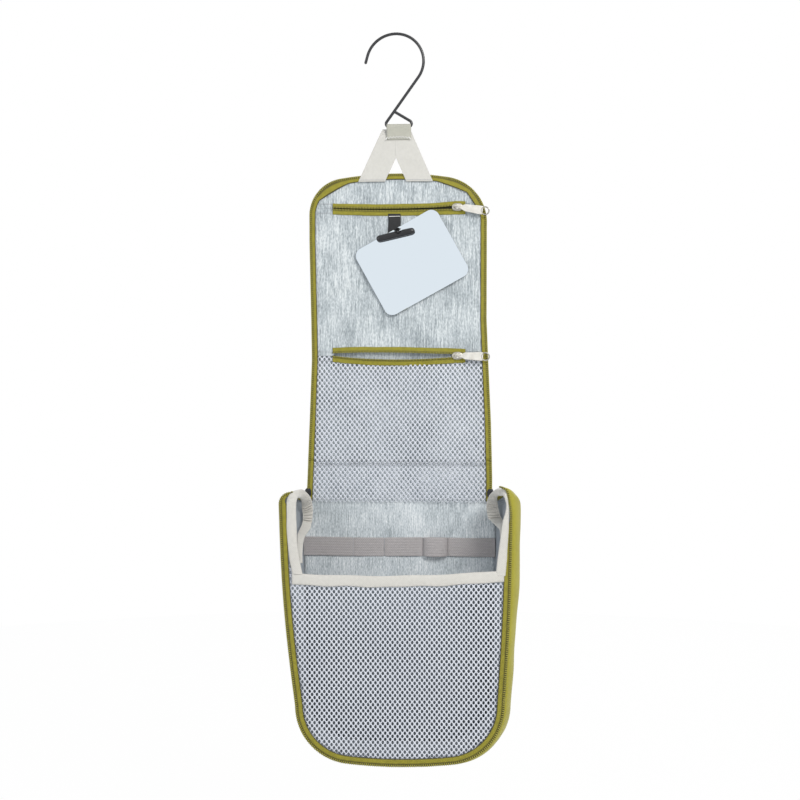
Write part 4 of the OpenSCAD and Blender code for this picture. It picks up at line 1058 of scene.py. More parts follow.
def net(name, loop, depth, keep=None):
    """Warp-knitted net: diamonds NET_X by NET_Z tile the plane from MID_TOP, and each holds an oval hole.

    depth(x, z) sets the net's middle in Y. The threads are thickest where they cross, at the diamonds'
    corners."""
    low, high = loop.min(0), loop.max(0)
    j = np.arange(int((low[1] - MID_TOP) / (NET_Z / 2)) - 1, int((high[1] - MID_TOP) / (NET_Z / 2)) + 2)
    i = np.arange(int(low[0] / NET_X) - 2, int(high[0] / NET_X) + 3)
    gi, gj = np.meshgrid(i, j, indexing="ij")
    cx = (gi + 0.5 * (gj % 2)).ravel() * NET_X
    cz = MID_TOP + gj.ravel() * NET_Z / 2
    centre = np.stack([cx, cz], axis=1)
    centre = centre[inside_loop(centre, loop)]
    if keep is not None:
        centre = centre[keep(centre)]
    k = len(centre)
    a = np.arange(8) * math.pi / 4
    corner = np.array([
        [0.5, 0], [0.25, 0.25], [0, 0.5], [-0.25, 0.25], [-0.5, 0], [-0.25, -0.25], [0, -0.5], [0.25, -0.25],
    ])
    outer = centre[:, None] + corner[None] * [NET_X, NET_Z]
    oval = np.stack([np.cos(a) * NET_HOLE[0] * NET_X / 2, np.sin(a) * NET_HOLE[1] * NET_Z / 2], axis=1)
    inner = centre[:, None] + oval[None]
    key = np.round(outer.reshape(-1, 2) * 50).astype(np.int64)
    _, first, index = np.unique(key[:, 0] * 10_000_000 + key[:, 1], return_index=True, return_inverse=True)
    shared = outer.reshape(-1, 2)[first]
    n_shared = len(shared)
    ring_out = index.reshape(k, 8)
    ring_in = n_shared + np.arange(k * 8).reshape(k, 8)
    flat = np.concatenate([shared, inner.reshape(-1, 2)])
    is_corner = np.zeros(n_shared, bool)
    is_corner[ring_out[:, ::2].ravel()] = True
    half = NET_THREAD * np.concatenate([np.where(is_corner, 0.62, 0.5), np.full(k * 8, 0.34)])
    y = depth(flat[:, 0], flat[:, 1])
    n = len(flat)
    points = np.concatenate([at_depth(flat, y - half), at_depth(flat, y + half)])
    nxt = np.roll(np.arange(8), -1)
    front = np.stack([ring_in, ring_out, ring_out[:, nxt], ring_in[:, nxt]], axis=2).reshape(-1, 4)
    back = front[:, ::-1] + n
    wall = np.stack([ring_in, ring_in[:, nxt], ring_in[:, nxt] + n, ring_in + n], axis=2).reshape(-1, 4)
    edge = np.stack([ring_out, ring_out[:, nxt]], axis=2).reshape(-1, 2)
    ordered = np.sort(edge, axis=1)
    pair = ordered[:, 0] * (n + 1) + ordered[:, 1]
    _, inverse, counts = np.unique(pair, return_inverse=True, return_counts=True)
    border = edge[counts[inverse] == 1]
    rim = np.stack([border[:, 0] + n, border[:, 1] + n, border[:, 1], border[:, 0]], axis=1)
    faces = np.concatenate([front, back, wall, rim])
    uv = np.concatenate([flat, flat])[faces.ravel()]
    return write_mesh(name, points, [faces], uv, NET)


def lid_net_depth(x, z):
    """The lid's net lies just off its lining, a little slack between its seams."""
    share = np.clip(1 - (x / 74.0) ** 2, 0, 1)
    return 1.35 + 0.55 * np.sin(x / 19.0 + z / 37.0) * share + 0.35 * np.sin(x / 9.0 - z / 23.0 + 2) * share


net_z = np.linspace(BAG_FOLD + 0.4, LOWER_ZIP, 14)
net_sides = [np.stack([side * (lid_side(net_z, side) - COIL_W - 1.2), net_z], axis=1) for side in (-1, 1)]
lens = np.linspace(net_sides[0][-1, 0], net_sides[1][-1, 0], 41)
net_top = np.stack([lens, panel_edge("lower", lens, False) + 0.6], axis=1)
net_loop = np.concatenate([net_sides[1], net_top[::-1], net_sides[0][::-1]])
upper_net = net("lid_pocket_net", net_loop, lid_net_depth, lambda c: c[:, 1] > MID_TOP - 0.1 - NET_Z / 2)
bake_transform(upper_net)
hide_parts("mesh_pocket_upper")
lower_net = net("lid_root_net", net_loop, lid_net_depth, lambda c: c[:, 1] < MID_TOP - 0.1)
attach(lower_net, "lid_top")
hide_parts("mesh_pocket_lower")

# ---------------------------------------------------------------- zips


def coil_tooth(length, width, height):
    """One turn of a zip coil: a bean across the tape, a superellipse in section, domed at its outer end."""
    t = np.array([-1.0, -0.82, -0.3, 0.3, 0.8, 1.0])
    r = np.array([0.35, 0.85, 1.0, 1.0, 0.9, 0.45])
    a = np.arange(8) / 8 * 2 * np.pi
    ring = np.stack([
        t[:, None] * width / 2 + 0 * a[None],
        r[:, None] * np.cos(a)[None] * length / 2,
        r[:, None] * np.sin(a)[None] * height / 2,
    ], axis=2)
    quads, _ = grid_faces(6, 8, wrap_cols=True)
    quads = quads[:, ::-1]
    caps = np.stack([np.arange(8), 40 + np.arange(8)[::-1]])
    return ring.reshape(-1, 3), [quads, caps], np.zeros((quads.size + caps.size, 2))


def coil_row(line, outward, pitch, tooth):
    """Teeth set along a 3-D line every pitch, each turned so that its length runs outward from the tape."""
    s = np.concatenate([[0], np.cumsum(np.linalg.norm(np.diff(line, axis=0), axis=1))])
    t = np.arange(pitch / 2, s[-1], pitch)
    at = np.stack([np.interp(t, s, line[:, k]) for k in range(3)], axis=1)
    out = np.stack([np.interp(t, s, outward[:, k]) for k in range(3)], axis=1)
    along = np.stack([np.interp(t, s, np.gradient(line[:, k], s)) for k in range(3)], axis=1)
    along /= np.linalg.norm(along, axis=1, keepdims=True)
    out -= along * (out * along).sum(1, keepdims=True)
    out /= np.linalg.norm(out, axis=1, keepdims=True)
    up = np.cross(out, along)
    turns = np.stack([out, along, up], axis=2)
    return copies(tooth, at, turns)


PITCH = 1.78
TOOTH = coil_tooth(1.12, 2.2, 1.5)
CORE_R = 0.62
# A direction close to Y that no coil, cord or hem runs along
NEAR_Y = (0.01, 1, 0.02)


def flat_outward(line):
    """Unit vectors in X and Z that point out of an outline which runs from left over the top to right."""
    along = np.gradient(line, axis=0)
    out = np.stack([-along[:, 1], along[:, 0]], axis=1)
    return out / np.linalg.norm(out, axis=1, keepdims=True)


def coil_and_core(name, line, outward, body, join=None, nodes=(), tooth=TOOTH, pitch=PITCH, core=CORE_R):
    """A zip's coil along one 3-D line or several, and the dark cord that fills it and is painted shade
    between the teeth, both taken through join."""
    lines = line if isinstance(line, list) else [line]
    outwards = outward if isinstance(outward, list) else [outward]
    teeth = [coil_row(a, out, pitch, tooth) for a, out in zip(lines, outwards)]
    coil = write_mesh(name, *joined(teeth), COIL, body)
    cores = [tube_parts(resample(a, step=2.0), core, 6, normal=NEAR_Y) for a in lines]
    cord = write_mesh(name + "_filler_and_shade", *joined(cores), FILLER_AND_SHADE, body)
    for piece in (coil, cord):
        if join:
            join(piece)
    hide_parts(*nodes)


def band_parts(outer, inner, y_outer, y_inner, rows, pucker):
    """A zip's tape between two outlines of equal length: a closed sheet, eased from one depth to the other.

    Its u runs from 0 at the teeth to 5 across and its v along, in millimetres."""
    t = np.linspace(0, 1, rows)[None]
    flat = outer[:, None] + (inner - outer)[:, None] * t[..., None]
    s = np.concatenate([[0], np.cumsum(np.linalg.norm(np.diff(outer, axis=0), axis=1))])[:, None]
    y = y_outer + (y_inner - y_outer) * t
    y = y + pucker * np.sin(s / 5.3 + 1) * np.sin(np.pi * t) + 0.5 * pucker * np.sin(s / 2.1)
    band = at_depth(flat, y)
    uv = np.stack([5.0 * t + 0 * s, s + 0 * t], axis=2)
    if normals_of(band)[len(outer) // 2, rows // 2, 1] > 0:
        band, uv = band[:, ::-1], uv[:, ::-1]
    normal = normals_of(band)
    return cloth_parts(band + normal * 0.25, band - normal * 0.25, uv)


def over_cover_fold(piece):
    """Bakes a piece's transform into its mesh, leaving it on no body; it is not bent at the fold."""
    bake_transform(piece)


def faceted(line, *marks):
    """A line pulled towards straight chords between the marked points, as stiff tape turns a corner."""
    out = line.copy()
    for a, b in zip(marks[:-1], marks[1:]):
        t = np.linspace(0, 1, b - a + 1)[:, None]
        out[a : b + 1] = line[a : b + 1] * 0.15 + (line[a] + (line[b] - line[a]) * t) * 0.85
    return out


def lid_zip_ring(d):
    """The lid's outline inset by d, with the same number of points whatever d is."""
    return lid_ring(d, MID_TOP, corner_n=40, end_n=30, count=70)


def corner_widening(line, amount):
    """Extra width of a flat tape eased round the lid's corners: a bump of amount, widest halfway round."""
    away = np.hypot(np.abs(line[:, 0]) - 62, line[:, 1] - LID_END + 17)
    return amount * (1 - smoothstep(away, 6, 30))


# Points of the lid's ring between which the stiff tape's inner edge runs straight, at its two corners
LEFT_CHORD = (84, 114)
RIGHT_CHORDS = (164, 186, 203)
outer, inner = lid_zip_ring(0.7), lid_zip_ring(BORDER - 0.3)
inner = inner - flat_outward(inner) * corner_widening(inner, 0.5)[:, None]
inner = faceted(faceted(inner, *LEFT_CHORD), *RIGHT_CHORDS)
lid_tape = write_mesh("lid_zip_tape", *band_parts(outer, inner, 1.3, 0.55, 7, 0.14), ZIP_TAPE)
over_cover_fold(lid_tape)
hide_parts("lid_cover_zip_tape", "lid_top_zip_tape")
line = lid_zip_ring(COIL_W / 2)
coil_and_core("lid_zip_coil", at_depth(line, 1.1), at_depth(flat_outward(line), 0.0), None, over_cover_fold,
              ("lid_cover_zip_teeth", "lid_top_zip_teeth"))

tapes, lines, outs = [], [], []
for side in (-1, 1):
    z = np.linspace(BAG_FOLD - 1.0, MID_TOP, 24)
    edges = [np.stack([side * (lid_side(z, side) - d), z], axis=1) for d in (0.7, BORDER - 0.3, COIL_W / 2)]
    tapes.append(band_parts(edges[0], edges[1], 1.3, 0.55, 7, 0.14))
    lines.append(at_depth(edges[2], 1.1))
    outs.append(np.tile([float(side), 0, 0], (24, 1)))
root_tape = write_mesh("lid_root_zip_tape", *joined(tapes), ZIP_TAPE, "lid_top")
coil_and_core("lid_root_zip_coil", lines, outs, "lid_top")

# ---------------------------------------------------------------- pocket zips


SMALL_TOOTH = coil_tooth(0.9, 1.35, 1.0)
SMALL_PITCH = 1.35
ZIP_X = np.linspace(-ZIP_HALF, ZIP_HALF, 119)
TAPE_H = {"upper": (3.9, 4.9), "lower": (5.0, 5.4)}

for which in ("upper", "lower"):
    bits, rows, lines, outs = [], [], [], []
    lift = zip_bow(ZIP_X) * (0.6 if which == "lower" else 0.02)
    for edge, way, height in zip(zip_edges(which, ZIP_X), (1, -1), TAPE_H[which]):
        edge = edge + way * 0.55 * np.exp(-(((ZIP_X - LENS_X) / 10) ** 2))
        ripple = 0.16 * np.sin(ZIP_X / 6.1 + way) + 0.1 * np.sin(ZIP_X / 2.7)
        near = np.stack([ZIP_X, edge + way * 0.35], axis=1)
        far = np.stack([ZIP_X, edge + way * (height + 0.6 * ripple)], axis=1)
        points, faces, corner_uv = band_parts(near, far, 0.0, 0.0, 9, 0.1)
        share = np.clip((points[:, 2] - np.interp(points[:, 0], ZIP_X, edge)) * way / height, 0, 1)
        points[:, 1] += 0.62 + 0.35 * share**2 - (1 - share) * np.interp(points[:, 0], ZIP_X, lift)
        # u is squeezed to 1.1 to 3.9 mm here, so only part of the painted shade by the teeth shows and none
        # along the far edge
        bits.append((points, faces, corner_uv * [0.56, 1] + [1.1, 0]))
        lines.append(np.stack([ZIP_X, (0.12 if which == "lower" else 0.4) - lift, edge + way * 0.5], axis=1))
        outs.append(np.tile([0.0, 0, -way], (len(ZIP_X), 1)))
        hem = np.stack([ZIP_X, 0.76 + 0 * lift, edge + way * (height - 0.8)], axis=1)
        rows.append(stitches(hem[2:-2], 2.0, 1.5, 0.3, TO_FRONT))
    tapes = write_mesh(f"{which}_pocket_zip_tapes", *joined(bits), ZIP_TAPE, "lid_cover")
    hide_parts(f"{which}_zip_tapes")
    hems = write_mesh(f"{which}_zip_tape_stitches", *joined(rows), OLIVE_THREAD, "lid_cover")
    coil_and_core(f"{which}_pocket_zip_coils", lines, outs, "lid_cover", nodes=(f"{which}_zip_teeth",),
                  tooth=SMALL_TOOTH, pitch=SMALL_PITCH, core=0.42)

# Painted shade: a nearly black strip just behind the upper zip's gap, where the pocket's mouth lies in shade
x = np.linspace(-ZIP_HALF + 1, ZIP_HALF - 1, 60)
high, low = zip_edges("upper", x)
flap = np.linspace(low - 2.0, high + 2.0, 7, axis=1)
grid = np.stack([x[:, None] + 0 * flap, 2.55 + 0 * flap, flap], axis=2)
mouth_shade_strip = cloth("upper_zip_painted_shade_strip", grid, 0.4, SHADE_TAPE, "lid_cover")

# ---------------------------------------------------------------- mirror and its toggle

NECK_X = -1.2
NECK_Z = LID_END - 52.4
MIRROR_W = 83.0
MIRROR_H = 66.5
MIRROR_T = 1.6
MIRROR_Y = -2.1
MIRROR_R = 7.5
NOTCH_D = 3.4
NOTCH_X = 1.9
NOTCH_DEPTH = 5.0


def turned(points, angle, at):
    """Flat points turned about (0, 0) by angle and moved so that the origin lands at a point."""
    c, s = math.cos(angle), math.sin(angle)
    return points @ np.array([[c, s], [-s, c]]) + at


def inset_loop(loop, d):
    """A closed counterclockwise loop moved inwards by d along the normals at its points."""
    along = np.roll(loop, -1, 0) - np.roll(loop, 1, 0)
    along /= np.linalg.norm(along, axis=1, keepdims=True)
    return loop + d * np.stack([-along[:, 1], along[:, 0]], axis=1)


def slab_parts(loop, rings):
    """A plate from a counterclockwise loop in X and Z: rings are (inset, y) from the front to the back."""
    n = len(loop)
    points = np.concatenate([at_depth(inset_loop(loop, d), y) for d, y in rings])
    k = np.arange(n)
    nxt = (k + 1) % n
    last = (len(rings) - 1) * n
    quads = [np.stack([r + k, r + n + k, r + n + nxt, r + nxt], axis=1) for r in range(0, last, n)]
    faces = [np.concatenate(quads), np.stack([k, last + k[::-1]])]
    corner_uv = np.concatenate([points[f.ravel()][:, [0, 2]] for f in faces])
    return points, faces, corner_uv


def mirror_loop():
    """A rectangle with corners of MIRROR_R and a round-ended notch in its upper side, counterclockwise."""
    half_w, half_h = MIRROR_W / 2 - MIRROR_R, MIRROR_H / 2 - MIRROR_R
    neck_v = MIRROR_H / 2 - NOTCH_DEPTH + NOTCH_D / 2
    corners = [arc_points((sx * half_w, sz * half_h), MIRROR_R, a, a + 90, 14)
               for sx, sz, a in ((-1, -1, 180), (1, -1, 270), (1, 1, 0))]
    lip = np.array([[NOTCH_D / 2 + 0.8, 0], [NOTCH_D / 2 + 0.25, -0.2], [NOTCH_D / 2, -0.7]])
    lip_right = lip + [NOTCH_X, MIRROR_H / 2]
    notch = arc_points((NOTCH_X, neck_v), NOTCH_D / 2, 0, -180, 14)
    lip_left = lip[::-1] * [-1, 1] + [NOTCH_X, MIRROR_H / 2]
    last = arc_points((-half_w, half_h), MIRROR_R, 90, 180, 14)
    return np.concatenate([*corners, lip_right, notch, lip_left, last]), neck_v


loop, neck_v = mirror_loop()
loop = turned(loop - [NOTCH_X, neck_v], MIRROR_TILT, [NECK_X, NECK_Z])
back_edge = MIRROR_Y + MIRROR_T
plate = write_mesh("mirror_sheet", *slab_parts(loop, [
    (0.12, MIRROR_Y), (0, MIRROR_Y + 0.12), (0, back_edge - 0.12), (0.12, back_edge)
]), MIRROR, "mirror", smooth=False)
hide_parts("mirror_plate")

BAR_R = 3.0
BAR_HALF = 14.6
BAR_LEAN = math.radians(13)
bar_at = np.array([NECK_X - 1.4, MIRROR_Y - 0.3 - BAR_R, NECK_Z - 2.9])
bar_dir = np.array([math.cos(BAR_LEAN), 0, math.sin(BAR_LEAN)])
s = np.linspace(-1, 1, 25)
bar = tube_parts(bar_at + s[:, None] * BAR_HALF * bar_dir, BAR_R - 0.15 * s**6, 18)
hub_line = np.array([[NECK_X, y, NECK_Z] for y in (-4.5, -2.5, -0.5, 0.9)])
hub = tube_parts(hub_line, [1.9, 1.4, 1.4, 1.4], 16, normal=(0, 0, 1))
boss_line = np.array([[-0.1, -5.9, NECK_Z - 0.4], [-0.1, -4.9, NECK_Z - 0.4], [-0.2, -3.4, NECK_Z - 0.2]])
boss = tube_parts(boss_line, [3.4, 3.7, 3.0], 20, normal=(0, 0, 1))
toggle = write_mesh("mirror_toggle_bar", *joined([bar, hub, boss]), BLACK_ABS, "lid_cover")
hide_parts("mirror_toggle")

top = UPPER_ZIP - 5.5
x = np.linspace(-5.5, 5.5, 13)
z = np.linspace(top - 18.8, top, 22)
grid = np.empty((13, 22, 3))
grid[..., 0] = -3.9 + x[:, None] + 0.25 * np.sin(z / 3.0)[None]
grid[..., 1] = 0.62 - 0.35 * np.sin((z - z[0]) / 18.8 * np.pi)[None] + 0.1 * np.sin(x / 2.5)[:, None]
grid[..., 2] = z
stub = cloth("black_webbing_stub", grid, 0.9, BLACK_WEBBING, "lid_cover")
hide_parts("mirror_webbing")
seam_line = np.array([[-8.8, -0.02, top - 2.4], [1.0, -0.02, top - 2.2]])
write_mesh("webbing_stitches", *stitches(seam_line, 1.9, 1.5, 0.6, TO_FRONT), THREAD, "lid_cover")

# ---------------------------------------------------------------- elastic strip on the back

ELASTIC_H = 16.5
BRUSH_LOOP = (21.7, 43.0)
SEWN_AT = (-40.8, -12.9, *BRUSH_LOOP)


def elastic_grid(x0, x1, n, arch):
    """Elastic between x0 and x1: seven soft ribs across its height, standing off the lining by arch(x)."""
    x = np.linspace(x0, x1, n)
    z = np.linspace(-ELASTIC_H / 2, ELASTIC_H / 2, 50)
    rib = 0.16 * np.abs(np.cos(7 * np.pi * z / ELASTIC_H)) ** 0.7
    pinch = np.clip(sum(np.exp(-(((x - at) / 1.3) ** 2)) for at in SEWN_AT), 0, 1)[:, None]
    grid = np.empty((n, 50, 3))
    grid[..., 0] = x[:, None]
    grid[..., 1] = 3.05 - arch(x)[:, None] - rib[None] * (1 - 0.6 * pinch) + 0.25 * pinch
    grid[..., 2] = ELASTIC_Z + z[None] * (1 - 0.03 * pinch) + 0.25 * np.sin(x / 17)[:, None]
    return grid


def slack_arch(x):
    """How far the strip stands off: soft waves 53 mm long."""
    return 0.35 * (1 + np.sin(x / 8.5)) / 2


def hoop_arch(x):
    """How far the brush loop stands off: the root of a half sine between its seams."""
    start, end = BRUSH_LOOP
    return 0.8 + 4.6 * np.sqrt(np.clip(np.sin(np.pi * (x - start) / (end - start)), 0, 1))


strip = cloth("elastic_strip_cloth", elastic_grid(-85.2, 85.4, 270, slack_arch), 0.7, ELASTIC, "bag")
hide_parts("elastic_strip")
hoop = cloth("brush_loop_cloth", elastic_grid(*BRUSH_LOOP, 44, hoop_arch), 0.8, ELASTIC, "bag")
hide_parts("brush_loop")
seams = []
for at, y in ((-40.8, 2.35), (-12.9, 2.35), (21.9, 1.6), (42.8, 1.6)):
    seam_line = np.array([[at, y, ELASTIC_Z - 7.6], [at, y, ELASTIC_Z + 7.6]])
    seams.append(stitches(seam_line, 2.0, 1.6, 0.35, TO_FRONT))
write_mesh("elastic_stitches", *joined(seams), GREY_THREAD, "bag")

# ---------------------------------------------------------------- the bag's side walls

# How many points the bag's outlines have round the ear, down the side, round the corner and along the end
BAG_SIZES = {"ear_n": 12, "side_n": 46, "corner_n": 30, "end_n": 34}
# The zip's rings close up towards the top of the ears: the share of the inset that is left there
EAR_SHARE = 0.3


def wall_grid(d, y0, y1, rows, ripple, seed):
    """The wall round the bag: one outline for each depth between y0 and y1, from the left top edge round to
    the right one. It waves by about ripple, most halfway back and near the top, and its normals point
    outwards."""
    grid = []
    for y in np.linspace(y0, y1, rows):
        v = (y - WALL_FRONT_Y) / (SHELL_Y - WALL_FRONT_Y)
        grid.append(at_depth(bag_ring(v, d, **BAG_SIZES), y))
    grid = np.array(grid)
    share = np.sin(np.pi * np.linspace(0, 1, rows))[:, None] ** 0.6
    y = grid[..., 1]
    s = np.linspace(0, 1, grid.shape[1])[None] * 620 + 0 * y
    w = waves(s, y, seed, 46, ripple) + waves(s, y, seed + 5, 21, ripple * 0.4)
    w = w * (1 + 0.8 * smoothstep(grid[..., 2], BAG_FOLD - 60, BAG_FOLD - 10))
    grid = grid + normals_of(grid) * (np.clip(w, -0.9, 1.6) * share)[..., None]
    at_left_corner = 80
    inwards = normals_of(grid)[rows // 2, at_left_corner, 0] > 0
    return grid[::-1] if inwards else grid


wall = wall_grid(0.45, WALL_FRONT_Y, SHELL_Y + 0.35, 34, 0.55, 4)
gusset = cloth("gusset_cloth", wall, 0.8, OLIVE, "bag")
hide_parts("left_gusset", "right_gusset", "bottom_gusset")
inner_wall = wall_grid(1.75, WALL_FRONT_Y + 0.8, LINING_Y, 30, 0.2, 9)
inner_cloth = cloth("compartment_lining_cloth", inner_wall, 0.5, INNER, "bag")
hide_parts("compartment_lining")

# ---------------------------------------------------------------- zip round the bag's front and over its ears


def front_ring(d):
    """The front outline inset by d."""
    return bag_ring(0.0, d, share=EAR_SHARE, **BAG_SIZES)


line = resample(front_ring(COIL_W / 2), step=1.0)
coil_and_core("front_zip_coil", at_depth(line, FRONT_Y + 0.75), at_depth(-flat_outward(line), 0.0), "bag",
              nodes=("front_zip_teeth",))
outer, inner = front_ring(0.7), front_ring(BORDER + 0.9)
share = smoothstep(inner[:, 1], BAG_FOLD - 32, BAG_FOLD - 8) * (inner[:, 0] > 0)
inner = inner + (front_ring(1.7) - inner) * share[:, None]
band = band_parts(outer, inner, FRONT_Y + 1.3, FRONT_Y + 1.9, 7, 0.12)
front_tape = write_mesh("front_zip_band", *band, ZIP_TAPE, "bag")
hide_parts("front_zip_tape")

for side, word in SIDE_WORD.items():
    line = []
    for y in np.linspace(WALL_FRONT_Y - 1.5, LINING_Y - 0.5, 50):
        v = max(0.0, (y - WALL_FRONT_Y) / (SHELL_Y - WALL_FRONT_Y))
        top = bag_side(v, 0.0, side, **BAG_SIZES)[0]
        line.append([top[0] - side * 1.3, y, top[1] + 0.2 + 0.5 * math.sin(y / 5.0) * v])
    line = np.array(line)
    outwards = np.tile([float(side), 0, 0], (50, 1))
    coil_and_core(f"{word}_ear_coil", line, outwards, "bag", nodes=(f"{word}_top_zip_teeth",))

# ---------------------------------------------------------------- front net and bindings


def mesh_edge(x):
    """Height of the net's top edge, which sags by 4 mm in its middle and sits a little higher at the
    right."""
    return MESH_TOP + 1.0 + 4.0 * (x / (FRONT_W / 2)) ** 2 + 0.018 * x


def front_net_depth(x, z):
    """The front net hangs a little slack, and stands out where the bag is full."""
    full = np.sin(np.pi * (x + 95) / 190) * np.clip((z - BAG_BOTTOM) / 150, 0, 1)
    return WALL_FRONT_Y + 0.3 - 0.5 * full + 0.25 * np.sin(x / 12 + z / 19)


ring = front_ring(BORDER + 0.6)
low_ring = ring[ring[:, 1] < BAG_FOLD - 47]
x = np.linspace(86, -82, 30)
net_loop = np.concatenate([low_ring, np.stack([x, mesh_edge(x) - 3.5], axis=1)])
front_net = net("front_net_cloth", net_loop, front_net_depth)
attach(front_net, "bag")
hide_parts("front_mesh")

# Painted shade: a dark panel behind the front net, below its top, for the shade inside the compartment
flat = back_patch(2.6, 45, 4, 40)
keep = flat[0, :, 1] < MESH_TOP - 9
flat = flat[:, keep]
y = 2.35 + waves(flat[..., 0], flat[..., 1], 17, 60, 0.15)
net_backing = cloth("net_backing_painted_shade_panel", at_depth(flat, y), 0.3, NET_BACKING_SHADE, "bag")

x = np.linspace(-87.5, 92, 101)
t = np.linspace(0, 1, 13)
grid = np.empty((101, 13, 3))
grid[..., 0] = x[:, None]
height = 9.4 + 0.25 * np.sin(x / 5.1)
grid[..., 2] = (mesh_edge(x) + 0.4 + 0.25 * np.sin(x / 8.3))[:, None] - height[:, None] * (1 - t)[None]
dome = 0.75 * np.sqrt(np.clip(np.sin(np.pi * t), 0, 1))
grid[..., 1] = FRONT_Y + 1.9 - dome[None] + 0.25 * np.sin(x / 9)[:, None]
top_binding = cloth("net_top_binding", grid, 0.5, BINDING, "bag")
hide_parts("mesh_top_binding")


def through(rows, count):
    """A smooth curve through rows of numbers, as count rows: the Catmull-Rom cubic between each pair."""
    rows = np.asarray(rows, float)
    t = np.linspace(0, len(rows) - 1.0001, count)
    i = t.astype(int)
    f = (t - i)[:, None]
    p0, p1 = rows[np.maximum(i - 1, 0)], rows[i]
    p2, p3 = rows[i + 1], rows[np.minimum(i + 2, len(rows) - 1)]
    square, cube = 2 * p0 - 5 * p1 + 4 * p2 - p3, 3 * p1 - p0 - 3 * p2 + p3
    return 0.5 * (2 * p1 + (p2 - p0) * f + square * f**2 + cube * f**3)


def ear_strip(name, stations, count, puff, finish_used, pucker, seed):
    """A strip of binding round an ear. Stations give x and height above the fold of its outer and inner
    edge, and its depth.

    It is domed by puff across, and puckered across by pucker times two sines, one fold every 2.7 mm and
    finer ones every 1.7 mm."""
    rows = through(stations, count)
    outer, inner = rows[:, [0, 4, 1]], rows[:, [2, 4, 3]]
    outer[:, 2] += BAG_FOLD
    inner[:, 2] += BAG_FOLD
    t = np.linspace(0, 1, 15)
    grid = outer[:, None] + (inner - outer)[:, None] * t[None, :, None]
    normal = normals_of(grid)
    if normal[..., 1].mean() > 0:
        grid, t = grid[:, ::-1], t[::-1]
        normal = normals_of(grid)
    middle = grid.mean(axis=1)
    s = np.concatenate([[0], np.cumsum(np.linalg.norm(np.diff(middle, axis=0), axis=1))])[:, None]
    fold = np.sin(2 * np.pi * s / 2.7 + 0.9 * np.sin(s * 0.8 + seed) + 1.5 * (t - 0.5)[None])
    fold = np.abs(fold) ** 0.7 * np.sign(fold) + 0.35 * np.sin(2 * np.pi * s / 1.7 + 2.2 * t[None] + seed)
    ends = np.clip(np.minimum(s, s[-1] - s) / 2.0, 0, 1)
    lift = puff * np.sqrt(np.clip(np.sin(np.pi * t), 0, 1))[None]
    lift = lift + pucker * ends * fold * (1 - 0.4 * (2 * t[None] - 1) ** 2)
    strip = cloth(name, grid + normal * lift[..., None], 0.5, finish_used, "bag")
    return strip, outer, inner


# Each ear: the binding up the net's side, the gathered band back over the ear, and the wing from its foot to
# the binding, as stations of x and height of the outer edge, x and height of the inner edge, and depth
EARS = {
    "left": (
        ((-87, -59, -78.5, -59, -56), (-89.5, -47, -81, -47, -56), (-91, -34, -83, -34, -56),
         (-92, -21, -83.5, -21, -56), (-92, -9, -84, -9, -56), (-92, 1, -84, 0, -56),
         (-90.6, 7.4, -83.6, 3.5, -56), (-87.5, 10.8, -83, 5.6, -55), (-84, 12, -82.3, 6, -51)),
        ((-86.4, 11.2, -83.2, 5.4, -53), (-82, 11.8, -83.3, 4.5, -36), (-79.5, 8, -84, 1.5, -22),
         (-77, 3, -84.5, -2, -13), (-76.3, -3, -85, -7.5, -7), (-76, -9, -84.5, -12, -5),
         (-76.4, -16, -84.5, -16, -4.6), (-77, -20, -84.6, -19, -4.6)),
        ((-77.2, -19.4, -84.6, -18.4, -5), (-77.5, -24, -85, -21.5, -9),
         (-79.3, -27.5, -85.5, -24.5, -18), (-80.4, -30.5, -86, -27.5, -28),
         (-80.4, -35.5, -85, -32, -38), (-80, -41.5, -83.5, -39.5, -46), (-79, -50, -80.6, -49.5, -54)),
    ),
    "right": (
        ((93, -59, 85, -59, -56), (94.2, -46.5, 86.3, -46.5, -56), (95.1, -34, 88, -34, -56),
         (95.8, -21, 89.8, -21, -56), (96, -12.5, 91, -13, -56), (96, -5.5, 93.2, -5.5, -56),
         (95.8, 1, 93.9, 0.8, -56), (95, 7, 93, 4.6, -56), (93.8, 11.5, 92, 7.6, -55.4),
         (92, 14, 90, 8.6, -52)),
        ((93, 13.2, 91, 8.2, -54), (88.3, 13.8, 88, 7.8, -42), (84.2, 11, 86.5, 6.1, -30),
         (80.5, 6.6, 86.3, 3, -18), (78.2, 1.3, 86.8, -1.1, -10), (77.5, -5, 87.6, -6, -6),
         (78.2, -11, 88.8, -11, -5), (79.2, -16.2, 90.4, -15.4, -5)),
        ((79.6, -15.6, 90.4, -14.8, -5.4), (83.2, -18.5, 91.5, -16.6, -14),
         (86.9, -21.2, 91.5, -18, -24), (88.8, -23, 90.8, -20.8, -34), (89.1, -27, 89.9, -26, -46)),
    ),
}


for word, (leg, band, wing) in EARS.items():
    piece, *_ = ear_strip(f"{word}_ear_binding", leg, 110, 0.9, BINDING, 0.12, 1.0)
    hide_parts(f"{word}_side_binding")
    # The gathered band's lighter binding is painted light for its proud folds
    gathered, outer, inner = ear_strip(f"{word}_gathered_band", band, 190, 0.6, GATHERED_LIT, 0.62, 2.0)
    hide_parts(f"{word}_corner_gather")
    web, _, low = ear_strip(f"{word}_binding_wing", wing, 60, 0.5, BINDING, 0.1, 3.0)
    for line, part in ((inner[12:], "band"), (low, "wing")):
        hem = tube_parts(resample(line, step=1.0) - [0, 0.5, 0], 0.5, 8, normal=NEAR_Y)
        rolled = write_mesh(f"{word}_{part}_rolled_edge", *hem, BINDING, "bag")
        if part == "band":
            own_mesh(rolled)
    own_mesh(gathered)

# ---------------------------------------------------------------- sliders and pulls

PIN_Y = -3.0
SLIDER_X = ZIP_HALF - 7


